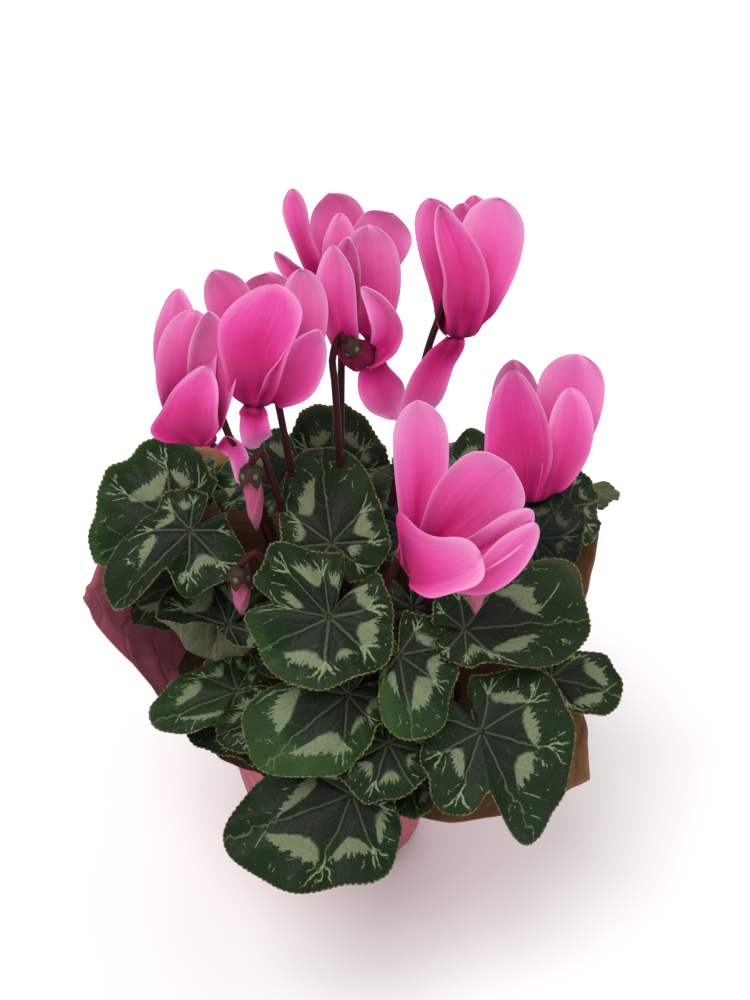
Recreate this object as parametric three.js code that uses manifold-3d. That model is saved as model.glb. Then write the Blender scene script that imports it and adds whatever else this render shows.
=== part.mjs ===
// Potted cyclamen in a florist's paper wrap. Millimetres, +Z up, front toward -Y.
// The origin is the centre of the underside of the wrap. A bearing is in degrees seen
// from above: 0 is the front, 90 the right, 180 the back and -90 the left.
import * as THREE from "three";
import { mergeVertices } from "three/addons/utils/BufferGeometryUtils.js";
import Module from "manifold-3d";

const wasm = await Module();
wasm.setup();
const V = (x, y, z) => new THREE.Vector3(x, y, z);
const UP = V(0, 0, 1);
const { degToRad: rad, lerp, clamp, smoothstep } = THREE.MathUtils;

// ---------------------------------------------------------------- dimensions
const CLEAR = 0.3;            // gap kept between neighbouring pieces
const PAPER = 0.8;            // wrap thickness
const WRAP_FOOT = 45;         // radius of the wrap's flat base
const POT_FOOT = 43;          // radius of the pot's base
const POT_MOUTH = 60;         // outer radius of the pot's mouth
const POT_HEIGHT = 98;
const POT_WALL = 1.6;
const RIM_BAND = 12;          // height of the pot's rim band
const RIM_OUT = 2.4;          // how far the rim band stands out
const DRAIN = { radius: 4, ring: 28, count: 4 };
const SOIL_TOP = 88;          // height of the soil surface
const TUBER = { radius: 34, half: 18, z: 84 };
const LEAF_THICK = 1.2;
const PETAL_THICK = 1.2;
const PETIOLE_R = 1.6;
const STEM_R = 1.9;
const BUD_STEM_R = 1.5;
const MOUTH_R = 6.6;          // corolla mouth
const TUBE_LENGTH = 9;        // corolla tube, mouth to calyx

const GREEN = "#3d5743";
const DARK_GREEN = "#2e4335";
const STALK = "#5a2a2b";
const PINK = "#e35da6";
const DEEP_PINK = "#c2367f";

// Leaves: name; bearing, distance out and height of the place where stalk meets blade;
// bearing the tip points to; degrees the tip dips; degrees the blade rolls to its right;
// reach to the tip, to the left edge, to the right edge and to the two lobes behind.
// swells and lifts: [direction from the tip, half width, mm] of bulges in the outline
// and of waves in the surface; cup: fall of the margin; skew: turn of the notch.
const LEAVES = [
  ["leaf_front_centre", 0, 80, 215, -75, 20, -40, 37, 31, 38, 30,
    {"skew": 40, "swells": [[-50, 9, -12], [-95, 18, 4]], "lifts": [[-60, 20, 5], [40, 40, 3]]}],
  ["leaf_upper_centre", 0, 36, 222, -172, -35, 0, 50, 25, 28, 23, {"swells": [[-30, 14, 3]]}],
  ["leaf_left_upper", -85, 76, 212, -85, 20, -30, 46, 14, 44, 30,
    {"swells": [[-50, 16, 5], [150, 30, -16]], "lifts": [[-90, 55, 6]]}],
  ["leaf_left_front", -75, 70, 216, -57, 30, -25, 54, 32, 23, 20,
    {"swells": [[27, 13, -22]], "lifts": [[28, 18, 9]]}],
  ["leaf_left_rolled", -50, 65, 177, -72, 22, -25, 43, 33, 35, 28, {"lifts": [[8, 45, 12]]}],
  ["leaf_left_low", -40, 72, 147, -75, 15, -25, 45, 12, 24, 17,
    {"swells": [[36, 22, -6]], "lifts": [[50, 30, -4]]}],
  ["leaf_left_tucked", -25, 80, 145, -85, 20, -30, 24, 16, 18, 16, {}],
  ["leaf_left_under", -35, 70, 126, -100, 10, -25, 35, 17, 24, 17, {}],
  ["leaf_low_centre", 5, 87, 175, -60, 25, -35, 52, 28, 25, 20,
    {"swells": [[-30, 16, 7], [92, 16, -7]], "lifts": [[95, 22, 5], [45, 30, -2]]}],
  ["leaf_bottom_front", 5, 106, 130, -78, 17, -45, 61, 40, 23, 20, {"swells": [[28, 18, 5]]}],
  ["leaf_bottom_centre", 15, 100, 154, 35, 30, 15, 25, 23, 27, 18, {}],
  ["leaf_centre_upright", 20, 90, 197, 12, 45, -6, 40, 31, 8, 22,
    {"swells": [[-150, 40, -13]], "lifts": [[90, 40, -3]]}],
  ["leaf_right_low", 36, 116, 159, 40, 44, 16, 56, 43, 30, 26,
    {"swells": [[-23, 10, -20], [-58, 18, 9]], "lifts": [[-23, 12, 6]]}],
  ["leaf_right_centre", 40, 94, 201, 99, 2, 38, 54, 24, 17, 16,
    {"swells": [[28, 16, 18], [-30, 13, 6]], "lifts": [[38, 20, 7], [-40, 25, 3]]}],
  ["leaf_right_pointed", 61, 119, 158, 93, 18, 28, 40, 22, 14, 15, {}],
  ["leaf_right_upper", 97, 116, 205, 120, 5, 30, 21, 26, 21, 15, {"lifts": [[60, 25, 3]]}],
  ["leaf_right_shaded", 77, 98, 214, 140, -23, 28, 29, 23, 23, 19, {}],
  ["leaf_centre_shaded", 70, 39, 213, -165, -25, -12, 38, 22, 23, 19, {}],
  ["leaf_back_centre", 180, 36, 212, -176, -20, 0, 35, 30, 29, 24, {"cup": -6}],
  ["leaf_back_left", -106, 28, 222, -160, -22, -30, 37, 16, 15, 14, {}],
  ["leaf_left_deep", -94, 74, 168, -84, 23, -22, 42, 27, 26, 18, {}],
  ["leaf_back_right", 116, 80, 206, 165, -8, 5, 37, 29, 29, 22, {}],
  ["leaf_back_low", 172, 77, 182, 175, 22, 0, 37, 29, 29, 22, {}],
  ["leaf_back_low_left", -142, 78, 190, -137, 18, 0, 41, 28, 29, 21, {}],
  ["leaf_back_low_right", 132, 95, 172, 138, 15, 0, 35, 26, 27, 20, {}],
  ["leaf_left_back", -118, 92, 200, -115, 8, -5, 39, 26, 27, 20, {}],
  ["leaf_right_back", 110, 124, 194, 115, 9, -20, 35, 16, 16, 13, {}],
  ["leaf_centre_deep", 36, 64, 196, 24, 45, 8, 28, 25, 26, 18, {"foot": 20}],
  ["leaf_left_inner", -26, 45, 176, 18, 50, 14, 29, 25, 26, 17, {}],
  ["leaf_bottom_deep", 24, 91, 118, 10, 18, 0, 21, 19, 19, 14, {"foot": 17}],
  ["leaf_right_deep", 74, 92, 166, 60, 27, 6, 29, 25, 26, 18, {}],
  ["leaf_back_top_left", -140, 61, 197, -140, 4, 0, 31, 26, 27, 19, {}],
  ["leaf_olive_tip", 143, 76, 200, 153, 5, 0, 31, 18, 18, 13, {}],
];

// Flowers. mouth: bearing, distance out and height of the corolla mouth; opens: the
// bearing it looks to and its tilt from straight down; crook: the bearing its stem
// comes over from, and the radius of the bend. Each petal: bearing of its root on the
// mouth; length; lean of its tip to the right; lean to the back; sideways bow; half
// width; where along it that is widest; turn of its face.
const FLOWERS = [
  {"name": "left", "mouth": [-66, 64, 273], "opens": [-10, 17], "crook": [80, 7],
   "petals": [
     [-120, 67, -7, 32, -2, 11, 0.55, 15],
     [-70, 57, 1, 22, -3, 13, 0.58, -10],
     [60, 57, 7, 20, 2, 11.5, 0.55, 20],
     [0, 36, 5, 6, -3, 12, 0.35, 0],
     [90, 27, 142, 5, -7, 4.5, 0.6, 0]]},
  {"name": "left_centre", "mouth": [-61, 38, 289], "opens": [-18, 18], "crook": [140, 5],
   "petals": [
     [-140, 60, -16, 32, 3, 11, 0.65, 15],
     [170, 57, 6, 36, 2, 13, 0.65, 0],
     [100, 60, 19, 28, 8, 11, 0.6, -20],
     [0, 53, 6, 12, -1, 15.5, 0.68, 5],
     [45, 43, 42, 10, 1, 12, 0.55, -15],
     [0, 22, 178, 0, 0, 7, 0.5, 0]]},
  {"name": "back_centre", "mouth": [175, 24, 322], "opens": [180, 17], "crook": [25, 4],
   "petals": [
     [-90, 48, -24, 25, -3, 6, 0.7, -30],
     [-70, 31, -56, 10, -2, 4.5, 0.6, 10],
     [180, 44, -4, 36, 3, 13, 0.52, 0],
     [130, 43, 39, 25, 3, 13.5, 0.62, 0],
     [20, 32, 5, 20, 0, 8, 0.55, 0]]},
  {"name": "front_centre", "mouth": [94, 14, 300], "opens": [132, 42], "crook": [-90, 4],
   "petals": [
     [120, 58, 3, 25, 1, 13.5, 0.6, 5],
     [-60, 50, -14, 20, -2, 9, 0.6, 15],
     [-100, 53, -6, 24, -2, 7.5, 0.6, -15],
     [60, 34, 2, 5, 9, 7, 0.5, 10],
     [60, 36, 152, 0, 1, 10, 0.42, 0]]},
  {"name": "right_centre", "mouth": [90, 58, 313], "opens": [10, 18], "crook": [-90, 5],
   "petals": [
     [-120, 60, -13, 30, 1, 9.5, 0.72, 10],
     [180, 57, 2, 34, 0, 8, 0.6, 20],
     [0, 57, -5, 12, 3, 10.5, 0.42, 0],
     [150, 61, 6, 36, 2, 10, 0.6, 0],
     [80, 60, 16, 22, 0, 14, 0.67, 5],
     [-30, 58, -157, 0, 4, 9.5, 0.6, 12]]},
  {"name": "right", "mouth": [88, 95, 226], "opens": [10, 18], "crook": [-150, 4],
   "petals": [
     [-150, 65, -8, 30, -1, 12, 0.55, 0],
     [-30, 62, -9, 15, -2, 15, 0.45, 0],
     [45, 55, 16, 15, 5, 11, 0.55, -10],
     [130, 70, 17, 30, 3, 16, 0.64, 0],
     [-100, 33, -80, 20, 2, 6.5, 0.6, 0]]},
  {"name": "front", "mouth": [20, 98, 253], "opens": [-69, 62], "crook": [-135, 6],
   "petals": [
     [160, 70, 3, 30, 3, 11.5, 0.66, 0],
     [120, 61, 44, 20, 0, 17, 0.62, 0],
     [-20, 31, 78, 12, 0, 13, 0.6, 0],
     [60, 56, 68, 8, 12, 10.5, 0.55, -20],
     [90, 57, 63, 14, 6, 8, 0.65, 10]]},
];

// Buds: calyx, bearing the furled corolla hangs to and its tilt, its length and radius.
const BUDS = [
  {"name": "bud_left", "calyx": [-49, 47, 258], "hangs": [30, 4], "long": 27, "radius": 4.2,
   "crook": [120, 5]},
  {"name": "bud_low_left", "calyx": [-38, 67, 217], "hangs": [-10, 3], "long": 19, "radius": 4.2,
   "crook": [100, 8]},
  {"name": "bud_front", "calyx": [41, 98, 236], "hangs": [0, 4], "long": 19, "radius": 4,
   "crook": [-155, 4]},
];

// Corners of the wrap's rim: bearing, distance out, height.
const WRAP_RIM = [
  [-170, 118, 158], [-130, 122, 200], [-110, 118, 170], [-90, 124, 170], [-80, 126, 178], [-70, 96, 128],
  [-50, 82, 106], [-30, 72, 98], [-10, 82, 107], [10, 88, 106], [30, 110, 101], [60, 143, 104],
  [80, 118, 140], [100, 137, 188], [120, 124, 152], [160, 118, 158],
];

// ---------------------------------------------------------------- directions
const heading = (bearing) => V(Math.sin(rad(bearing)), -Math.cos(rad(bearing)), 0);
const spot = ([bearing, out, up]) => heading(bearing).multiplyScalar(out).setZ(up);
const hanging = ([bearing, tilt]) => heading(bearing).multiplyScalar(Math.sin(rad(tilt)))
  .addScaledVector(UP, -Math.cos(rad(tilt)));
const bell = (x, width) => Math.exp(-((x / width) ** 2));

// ---------------------------------------------------------------- solids
// Closed solid from a geometry, whose points `shape` may move first.
function solid(geometry, shape = null) {
  const position = geometry.getAttribute("position");
  for (let i = 0; shape && i < position.count; i++) {
    position.setXYZ(i, ...shape(V(0, 0, 0).fromBufferAttribute(position, i)));
  }
  geometry.deleteAttribute("normal");
  geometry.deleteAttribute("uv");
  const merged = mergeVertices(geometry, 1e-4);
  const index = [...merged.getIndex().array];
  const faces = [];
  for (let i = 0; i < index.length; i += 3) {
    const [a, b, c] = index.slice(i, i + 3);
    if (a !== b && b !== c && c !== a) faces.push([a, b, c]);
  }
  const build = (turn) => new wasm.Manifold(new wasm.Mesh({
    numProp: 3,
    vertProperties: new Float32Array(merged.getAttribute("position").array),
    triVerts: new Uint32Array(faces.flatMap(([a, b, c]) => (turn ? [b, a, c] : [a, b, c]))),
  }));
  const body = build(false);
  return body.volume() > 0 ? body : build(true);
}

// Solid of revolution about the Z axis from [radius, height] points, set in place.
function turned(profile, sides, place = new THREE.Matrix4()) {
  const points = profile.map(([r, z]) => new THREE.Vector2(r, z));
  return solid(new THREE.LatheGeometry(points, sides).rotateX(Math.PI / 2).applyMatrix4(place));
}

// Six-sided rod along a curve.
function rod(curve, radius, steps) {
  const round = new THREE.Shape().absarc(0, 0, radius, 0, 2 * Math.PI);
  return solid(new THREE.ExtrudeGeometry(round, { steps, extrudePath: curve, curveSegments: 3 }));
}

// Matrix that puts the origin at `at` and turns straight down to `down`.
function hung(at, down) {
  const turn = new THREE.Quaternion().setFromUnitVectors(V(0, 0, -1), down);
  return new THREE.Matrix4().compose(at, turn, V(1, 1, 1));
}

// ---------------------------------------------------------------- stalk feet on the tuber
const feet = [];
const FOOT_APART = 4.6;
const FOOT_TRIES = 20;
function foot(toward, ideal) {
  const base = Math.atan2(toward.y, toward.x);
  for (let ring = 0; ring < FOOT_TRIES; ring++) {
    const r = ideal + (ring % 2 ? -1 : 1) * Math.ceil(ring / 2) * 1.5;
    for (let step = 0; step < FOOT_TRIES && r > 3 && r < 29; step++) {
      const swing = (step % 2 ? 1 : -1) * Math.ceil(step / 2) * rad(6);
      const p = V(r * Math.cos(base + swing), r * Math.sin(base + swing), 0);
      if (feet.every((q) => q.distanceTo(p) > FOOT_APART)) {
        feet.push(p.clone());
        return p.setZ(TUBER.z + TUBER.half * Math.sqrt(1 - (r / TUBER.radius) ** 2) - 1);
      }
    }
  }
  throw new Error("no room left on the tuber");
}

// ---------------------------------------------------------------- leaves
const BLADE_SECTORS = 18;
const NOTCH = { from: 160, depth: 0.8 };

// The vector that lies `angle` degrees from `a` towards `b`.
const between = (a, b, angle) => a.clone().multiplyScalar(Math.cos(rad(angle)))
  .addScaledVector(b, Math.sin(rad(angle)));

function readLeaf([name, bearing, out, up, heads, dips, rolls, long, left, right, back, extras]) {
  const ahead = between(heading(heads), UP, -dips);
  const level = between(UP, heading(heads), dips);
  const face = between(level, ahead.clone().cross(level), rolls);
  const frame = { at: spot([bearing, out, up]), ahead, face, left: face.clone().cross(ahead) };
  return { name, frame, long, left, right, back, swells: [], lifts: [], cup: 3, skew: 0, ...extras };
}

// Reach of the blade in a direction from its tip: a drawn-out tip, rounded sides and
// two lobes with the notch between them.
function reach(leaf, direction) {
  const away = Math.abs(direction);
  const ahead = away < 90 ? Math.cos(rad(away)) ** 4 : 0;
  const behind = smoothstep(away, 95, 150);
  const side = lerp(direction > 0 ? leaf.left : leaf.right, leaf.back, behind);
  const swell = leaf.swells.reduce((sum, [d, w, mm]) => sum + mm * bell(direction - d, w), 0);
  return (lerp(side, leaf.long, ahead) + swell) * (1 - NOTCH.depth * smoothstep(away, NOTCH.from, 180));
}

function leafBlade(leaf, grow) {
  const { at, ahead, face, left } = leaf.frame;
  const half = LEAF_THICK / 2 + grow;
  const profile = [[0, -1], [0.5, -1], [1, -1], [1, 1], [0.5, 1], [0, 1]];
  const disc = new THREE.LatheGeometry(profile.map((p) => new THREE.Vector2(...p)), BLADE_SECTORS);
  return solid(disc, (p) => {
    const f = Math.hypot(p.x, p.z);
    const direction = THREE.MathUtils.radToDeg(Math.atan2(p.x, p.z));
    const turn = rad(direction * (1 + Math.sign(direction) * leaf.skew / 180));
    const r = f < 0.01 ? 0 : f * (reach(leaf, direction) + grow);
    const wave = leaf.lifts.reduce((sum, [d, w, mm]) => sum + mm * bell(direction - d, w), 0);
    return at.clone().addScaledVector(ahead, r * Math.cos(turn)).addScaledVector(left, r * Math.sin(turn))
      .addScaledVector(face, (wave - leaf.cup) * f * f + half * p.y);
  });
}

function petiole(leaf, start) {
  const end = leaf.frame.at.clone().addScaledVector(leaf.frame.face, -0.4);
  const span = end.clone().sub(start);
  const length = span.length();
  const out = V(start.x, start.y, 0).normalize();
  const first = start.clone().addScaledVector(out, 0.08 * length).addScaledVector(UP, 0.3 * length);
  const arrive = leaf.frame.face.clone().multiplyScalar(0.6)
    .addScaledVector(span.normalize(), 0.4).normalize();
  const second = end.clone().addScaledVector(arrive, -0.28 * length);
  return new THREE.CubicBezierCurve3(start, first, second, end);
}

function leafBody(leaf, start, grow) {
  return leafBlade(leaf, grow).add(rod(petiole(leaf, start), PETIOLE_R + grow, 5));
}

// ---------------------------------------------------------------- flowers
const PETAL_ROOT = 5;         // half width where a petal leaves the mouth
const PETAL_BELLY = 5;        // how far its middle stands forward or back of the flower's axis
const PETAL_EDGE = 0.18;      // rise of its edges, as a share of the half width

function petalFrame(mouth, [root, long, lean, back, bow]) {
  const plane = V(0, Math.sin(rad(back)), Math.cos(rad(back)));
  const ahead = plane.clone().multiplyScalar(Math.cos(rad(lean))).setX(Math.sin(rad(lean)));
  const facing = V(0, -Math.cos(rad(back)), Math.sin(rad(back)));
  const across = facing.clone().cross(ahead).negate();
  const start = mouth.clone().addScaledVector(heading(root), MOUTH_R - 1.5);
  const tip = mouth.clone().addScaledVector(ahead, long);
  const control = start.clone().lerp(tip, 0.5).addScaledVector(across, 2 * bow)
    .addScaledVector(heading(root).setX(0), 2 * PETAL_BELLY);
  return { curve: new THREE.QuadraticBezierCurve3(start, control, tip), facing };
}

function petalWidth(half, widest, u) {
  const grown = Math.sin((Math.PI / 2) * Math.min(u / widest, 1)) ** 1.3;
  if (u < widest) return lerp(Math.min(PETAL_ROOT, half), half, grown);
  return half * Math.sqrt(Math.max(1 - ((u - widest) / (1.02 - widest)) ** 2.2, 0.02));
}

function petalBody(mouth, petal, grow) {
  const [half, widest, turn] = petal.slice(5);
  const { curve, facing } = petalFrame(mouth, petal);
  return solid(new THREE.BoxGeometry(2, 1, 1, 2, 4, 1), (p) => {
    const u = p.y + 0.5;
    const along = curve.getTangent(u);
    const flat = facing.clone().cross(along).negate().normalize();
    const face = along.clone().cross(flat).negate();
    const across = between(flat, face, turn);
    const out = across.clone().cross(along).normalize();
    const w = (petalWidth(half, widest, u) + grow) * p.x;
    const depth = PETAL_EDGE * Math.abs(w) + p.z * (PETAL_THICK + 2 * grow);
    return curve.getPoint(u).addScaledVector(across, w).addScaledVector(out, depth);
  });
}

function corollaBody(flower, grow) {
  const mouth = spot(flower.mouth);
  const g = grow;
  const tube = turned([[0, TUBE_LENGTH - 1.6], [3.2, TUBE_LENGTH - 1.6], [MOUTH_R - 1.2, -1.2 - g],
    [MOUTH_R + 0.4 + g, -1.2 - g], [MOUTH_R + 1 + g, 0.5], [4.6 + g, TUBE_LENGTH + g], [0, TUBE_LENGTH + g]],
  8, hung(mouth, hanging(flower.opens)));
  return flower.petals.reduce((body, petal) => body.add(petalBody(mouth, petal, grow)), tube);
}

// Stem from its foot, up beside the calyx, and over in a crook onto the calyx.
function crookedStem(start, calyx, down, [bearing, bend], top) {
  const side = heading(bearing);
  const over = calyx.clone().addScaledVector(side, 2 * bend).setZ(calyx.z - 1.5 * bend);
  const rise = V(lerp(start.x, over.x, 0.55), lerp(start.y, over.y, 0.55), lerp(start.z, over.z, 0.6));
  const near = over.clone().lerp(rise, 0.2).addScaledVector(UP, bend);
  const apex = calyx.clone().addScaledVector(side, bend).addScaledVector(UP, top + 0.8 * bend);
  const end = calyx.clone().addScaledVector(down, -top);
  return new THREE.CatmullRomCurve3([start, rise, near, over, apex, end], false, "centripetal");
}

function flowerStem(flower, start, grow) {
  const down = hanging(flower.opens);
  const calyx = spot(flower.mouth).addScaledVector(down, -TUBE_LENGTH - 1);
  const g = grow;
  const stem = rod(crookedStem(start, calyx, down, flower.crook, 3), STEM_R + g, 13);
  const profile = [[0, -0.6], [4.4 + g, -0.6], [4 + g, 1.5], [2.2 + g, 3.5 + g], [0, 3.5 + g]];
  return stem.add(turned(profile, 7, hung(calyx, down)));
}

function budBody(bud, start, grow) {
  const down = hanging(bud.hangs);
  const calyx = spot(bud.calyx);
  const g = grow;
  const stem = rod(crookedStem(start, calyx, down, bud.crook, 5), BUD_STEM_R + g, 12);
  const place = hung(calyx, down);
  const sepals = [[0, -5], [4.2 + g, -5], [5 + g, -1], [4.4 + g, 3], [2 + g, 6 + g], [0, 6 + g]];
  const cup = turned(sepals, 8, place);
  const end = 4 + bud.long;
  const furled = [[0, -end - g], [0.6 + g, -end - g], [2 + g, 3 - end],
    [bud.radius - 0.2 + g, -4 - bud.long / 2], [bud.radius + g, -8], [3.6 + g, -3], [0, -3]];
  const petals = turned(furled, 7, place);
  return stem.add(cup).add(petals);
}

// ---------------------------------------------------------------- pot, soil, tuber, wrap
const potFloor = PAPER + CLEAR;
const potRadius = (z) => lerp(POT_FOOT, POT_MOUTH, (z - potFloor) / (POT_HEIGHT - potFloor));

function tuberBody(grow) {
  const shape = new THREE.Matrix4().compose(V(0, 0, TUBER.z), new THREE.Quaternion(),
    V(TUBER.radius + grow, TUBER.radius + grow, TUBER.half + grow));
  return solid(new THREE.SphereGeometry(1, 16, 6).rotateX(Math.PI / 2).applyMatrix4(shape));
}

function potBody(grow) {
  const low = POT_HEIGHT - RIM_BAND;
  const body = turned([[0, potFloor - grow], [POT_FOOT + grow, potFloor - grow], [potRadius(low) + grow, low],
    [potRadius(low) + RIM_OUT + grow, low + 0.5], [POT_MOUTH + RIM_OUT + grow, POT_HEIGHT + grow],
    [POT_MOUTH + RIM_OUT - POT_WALL, POT_HEIGHT + grow], [potRadius(low) - POT_WALL, low],
    [POT_FOOT - POT_WALL, potFloor + POT_WALL], [0, potFloor + POT_WALL]], 24);
  if (grow) return body;
  const holes = Array.from({ length: DRAIN.count }, (_, k) => {
    const centre = spot([45 + (360 * k) / DRAIN.count, DRAIN.ring, potFloor + 1]);
    const drill = new THREE.CylinderGeometry(DRAIN.radius, DRAIN.radius, 6, 10).rotateX(Math.PI / 2);
    return solid(drill.translate(...centre));
  });
  return holes.reduce((pot, hole) => pot.subtract(hole), body);
}

function soilBody() {
  const low = potFloor + POT_WALL + CLEAR;
  const inside = (z) => potRadius(z) - POT_WALL - CLEAR - 0.4;
  const edge = SOIL_TOP - 4;
  const profile = [[0, low], [inside(low) - 0.4, low], [inside(edge), edge],
    [inside(edge) - 1, SOIL_TOP - 1.5], [30, SOIL_TOP], [0, SOIL_TOP]];
  return turned(profile, 24).subtract(tuberBody(CLEAR));
}

function wrapRim(bearing) {
  const next = WRAP_RIM.findIndex(([b]) => b >= bearing - 0.01);
  const [b1, out1, up1] = WRAP_RIM[next < 0 ? 0 : next];
  const [b0, out0, up0] = WRAP_RIM[next < 1 ? WRAP_RIM.length - 1 : next - 1];
  const t = clamp(((bearing - b0 + 360) % 360) / ((b1 - b0 + 360) % 360), 0, 1);
  return [lerp(out0, out1, t), lerp(up0, up1, t)];
}

// Radius and height of the paper in a bearing, at each ring from the base to the rim.
function wrapRings(bearing) {
  const [out, up] = wrapRim(bearing);
  const shoulder = POT_HEIGHT - 6;
  const waist = Math.min(potRadius(shoulder) + RIM_OUT + 2.6, out - 4);
  return [[WRAP_FOOT - 8, 0], [WRAP_FOOT, 2], [waist, Math.min(shoulder, up - 9)],
    [(waist + out) / 2 + 2, (shoulder + up) / 2], [out, up]];
}

// A lathe whose rings are numbered by height: 1 to 5 outside, 6 to 10 back down inside.
const WRAP_SIDES = 36;
function wrapSolid(grow) {
  const numbers = Array.from({ length: 12 }, (_, k) => new THREE.Vector2(k % 11 ? 1 : 0, k));
  return solid(new THREE.LatheGeometry(numbers, WRAP_SIDES), (p) => {
    const ring = Math.round(p.y);
    const inside = ring > 5;
    if (ring % 11 === 0) return V(0, 0, inside ? PAPER + grow : -grow);
    const side = THREE.MathUtils.radToDeg(Math.atan2(p.x, p.z));
    const level = inside ? 10 - ring : ring - 1;
    const [r, z] = wrapRings(Math.abs(side + 180) < 0.01 ? 180 : side)[level];
    const inset = inside ? PAPER * 1.15 + grow : -grow;
    const share = level === 0 ? 1 : level === 4 ? 0 : 0.35;
    return heading(side).multiplyScalar(r - inset).setZ(z + share * (inside ? PAPER + grow : -grow));
  });
}

// ---------------------------------------------------------------- assembly
const object = new THREE.Group();
object.name = "potted_cyclamen";

// Pieces in order of precedence: a later piece is relieved where it would cross an
// earlier one, so that neighbours never touch.
const pieces = [];
function place(name, colour, roughness, make) {
  pieces.push({ name, colour, roughness, body: make(0), room: make(CLEAR) });
}

place("wrap", "#c96f86", 0.75, wrapSolid);
place("pot", "#7c4a35", 0.6, potBody);
place("tuber", "#6b4f3a", 0.9, tuberBody);
place("soil", "#33251c", 0.95, soilBody);

const leaves = LEAVES.map(readLeaf);
const flowerStarts = FLOWERS.map((flower) => foot(spot(flower.mouth), 9));
const budStarts = BUDS.map((bud) => foot(spot(bud.calyx), 13));
const leafStarts = leaves.map((leaf) => foot(leaf.frame.at, leaf.foot ?? (leaf.frame.at.z > 190 ? 18 : 25)));

FLOWERS.forEach((flower, k) => {
  place(`flower_stem_${flower.name}`, STALK, 0.55, (g) => flowerStem(flower, flowerStarts[k], g));
});
BUDS.forEach((bud, k) => place(bud.name, DEEP_PINK, 0.5, (g) => budBody(bud, budStarts[k], g)));
FLOWERS.forEach((flower) => place(`corolla_${flower.name}`, PINK, 0.5, (g) => corollaBody(flower, g)));
leaves.forEach((leaf, k) => {
  place(leaf.name, k % 3 ? GREEN : DARK_GREEN, 0.5, (g) => leafBody(leaf, leafStarts[k], g));
});

function largest(body) {
  return body.decompose().reduce((a, b) => (b.volume() > a.volume() ? b : a));
}

pieces.forEach((piece, i) => {
  for (const other of pieces.slice(0, i)) {
    if (other.name === "wrap" && piece.name === "soil") continue;
    if (piece.body.intersect(other.room).volume() > 1e-6) {
      piece.body = largest(piece.body.subtract(other.room));
    }
  }
});

for (const { name, colour, roughness, body } of pieces) {
  const mesh = body.getMesh();
  const geometry = new THREE.BufferGeometry();
  geometry.setAttribute("position", new THREE.BufferAttribute(new Float32Array(mesh.vertProperties), 3));
  geometry.setIndex(new THREE.BufferAttribute(new Uint32Array(mesh.triVerts), 1));
  geometry.computeVertexNormals();
  const material = new THREE.MeshStandardMaterial({ color: colour, roughness, metalness: 0 });
  const node = new THREE.Mesh(geometry, material);
  node.name = name;
  object.add(node);
}

export default object;
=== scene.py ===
import math
from types import SimpleNamespace

import bpy
import numpy as np
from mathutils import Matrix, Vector, noise


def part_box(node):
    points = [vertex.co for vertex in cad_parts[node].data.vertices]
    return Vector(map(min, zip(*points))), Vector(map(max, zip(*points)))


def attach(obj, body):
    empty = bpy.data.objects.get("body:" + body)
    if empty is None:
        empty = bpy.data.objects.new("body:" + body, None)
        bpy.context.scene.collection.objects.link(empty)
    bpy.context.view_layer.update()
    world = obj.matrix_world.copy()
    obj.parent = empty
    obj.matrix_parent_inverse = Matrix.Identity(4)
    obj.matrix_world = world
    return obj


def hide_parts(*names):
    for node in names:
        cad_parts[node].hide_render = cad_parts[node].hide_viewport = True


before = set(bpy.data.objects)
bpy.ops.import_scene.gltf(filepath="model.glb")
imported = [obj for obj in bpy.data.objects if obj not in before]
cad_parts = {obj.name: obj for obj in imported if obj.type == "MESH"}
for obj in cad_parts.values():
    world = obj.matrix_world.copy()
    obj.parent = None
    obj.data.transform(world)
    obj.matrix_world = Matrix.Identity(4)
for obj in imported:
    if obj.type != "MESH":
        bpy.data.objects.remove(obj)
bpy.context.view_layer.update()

# ---------------------------------------------------------------- dimensions (mm)
MM = 0.001


def node_box(name):
    low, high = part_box(name)
    return np.array(low) / MM, np.array(high) / MM


pot_low, pot_high = node_box("pot")
tuber_low, tuber_high = node_box("tuber")
UP = np.array([0.0, 0.0, 1.0])
PAPER = 0.45                  # thickness of the paper as it looks
WRAP_FOOT = 45                # radius of the wrap's flat base
POT_FOOT = 43                 # radius of the pot's base
RIM_OUT = 2.4                 # how far the pot's rim band stands out
POT_WALL = 1.6                # thickness
POT_FLOOR = pot_low[2]
POT_HEIGHT = pot_high[2]
POT_MOUTH = pot_high[0] - RIM_OUT
SOIL_TOP = node_box("soil")[1][2]
TUBER_RADIUS = (tuber_high[0] - tuber_low[0]) / 2
TUBER_HALF = 18               # half its height
TUBER_Z = 84                  # height of its middle
BLADE_THICK = 0.45            # leaf blades
PETAL_THICK = 0.45
PETIOLE_R = 1.65              # radius of a leaf's stalk
STEM_R = 2.0                  # radius of a flower's stem
BUD_STEM_R = 1.6
MOUTH_R = 6.6                 # radius of the corolla's mouth
TUBE_LENGTH = 9               # corolla tube, mouth to calyx
VEINS = [-224, -180, -136, -92, -48, 0, 48, 92, 136, 180, 224]   # directions from the tip

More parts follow.
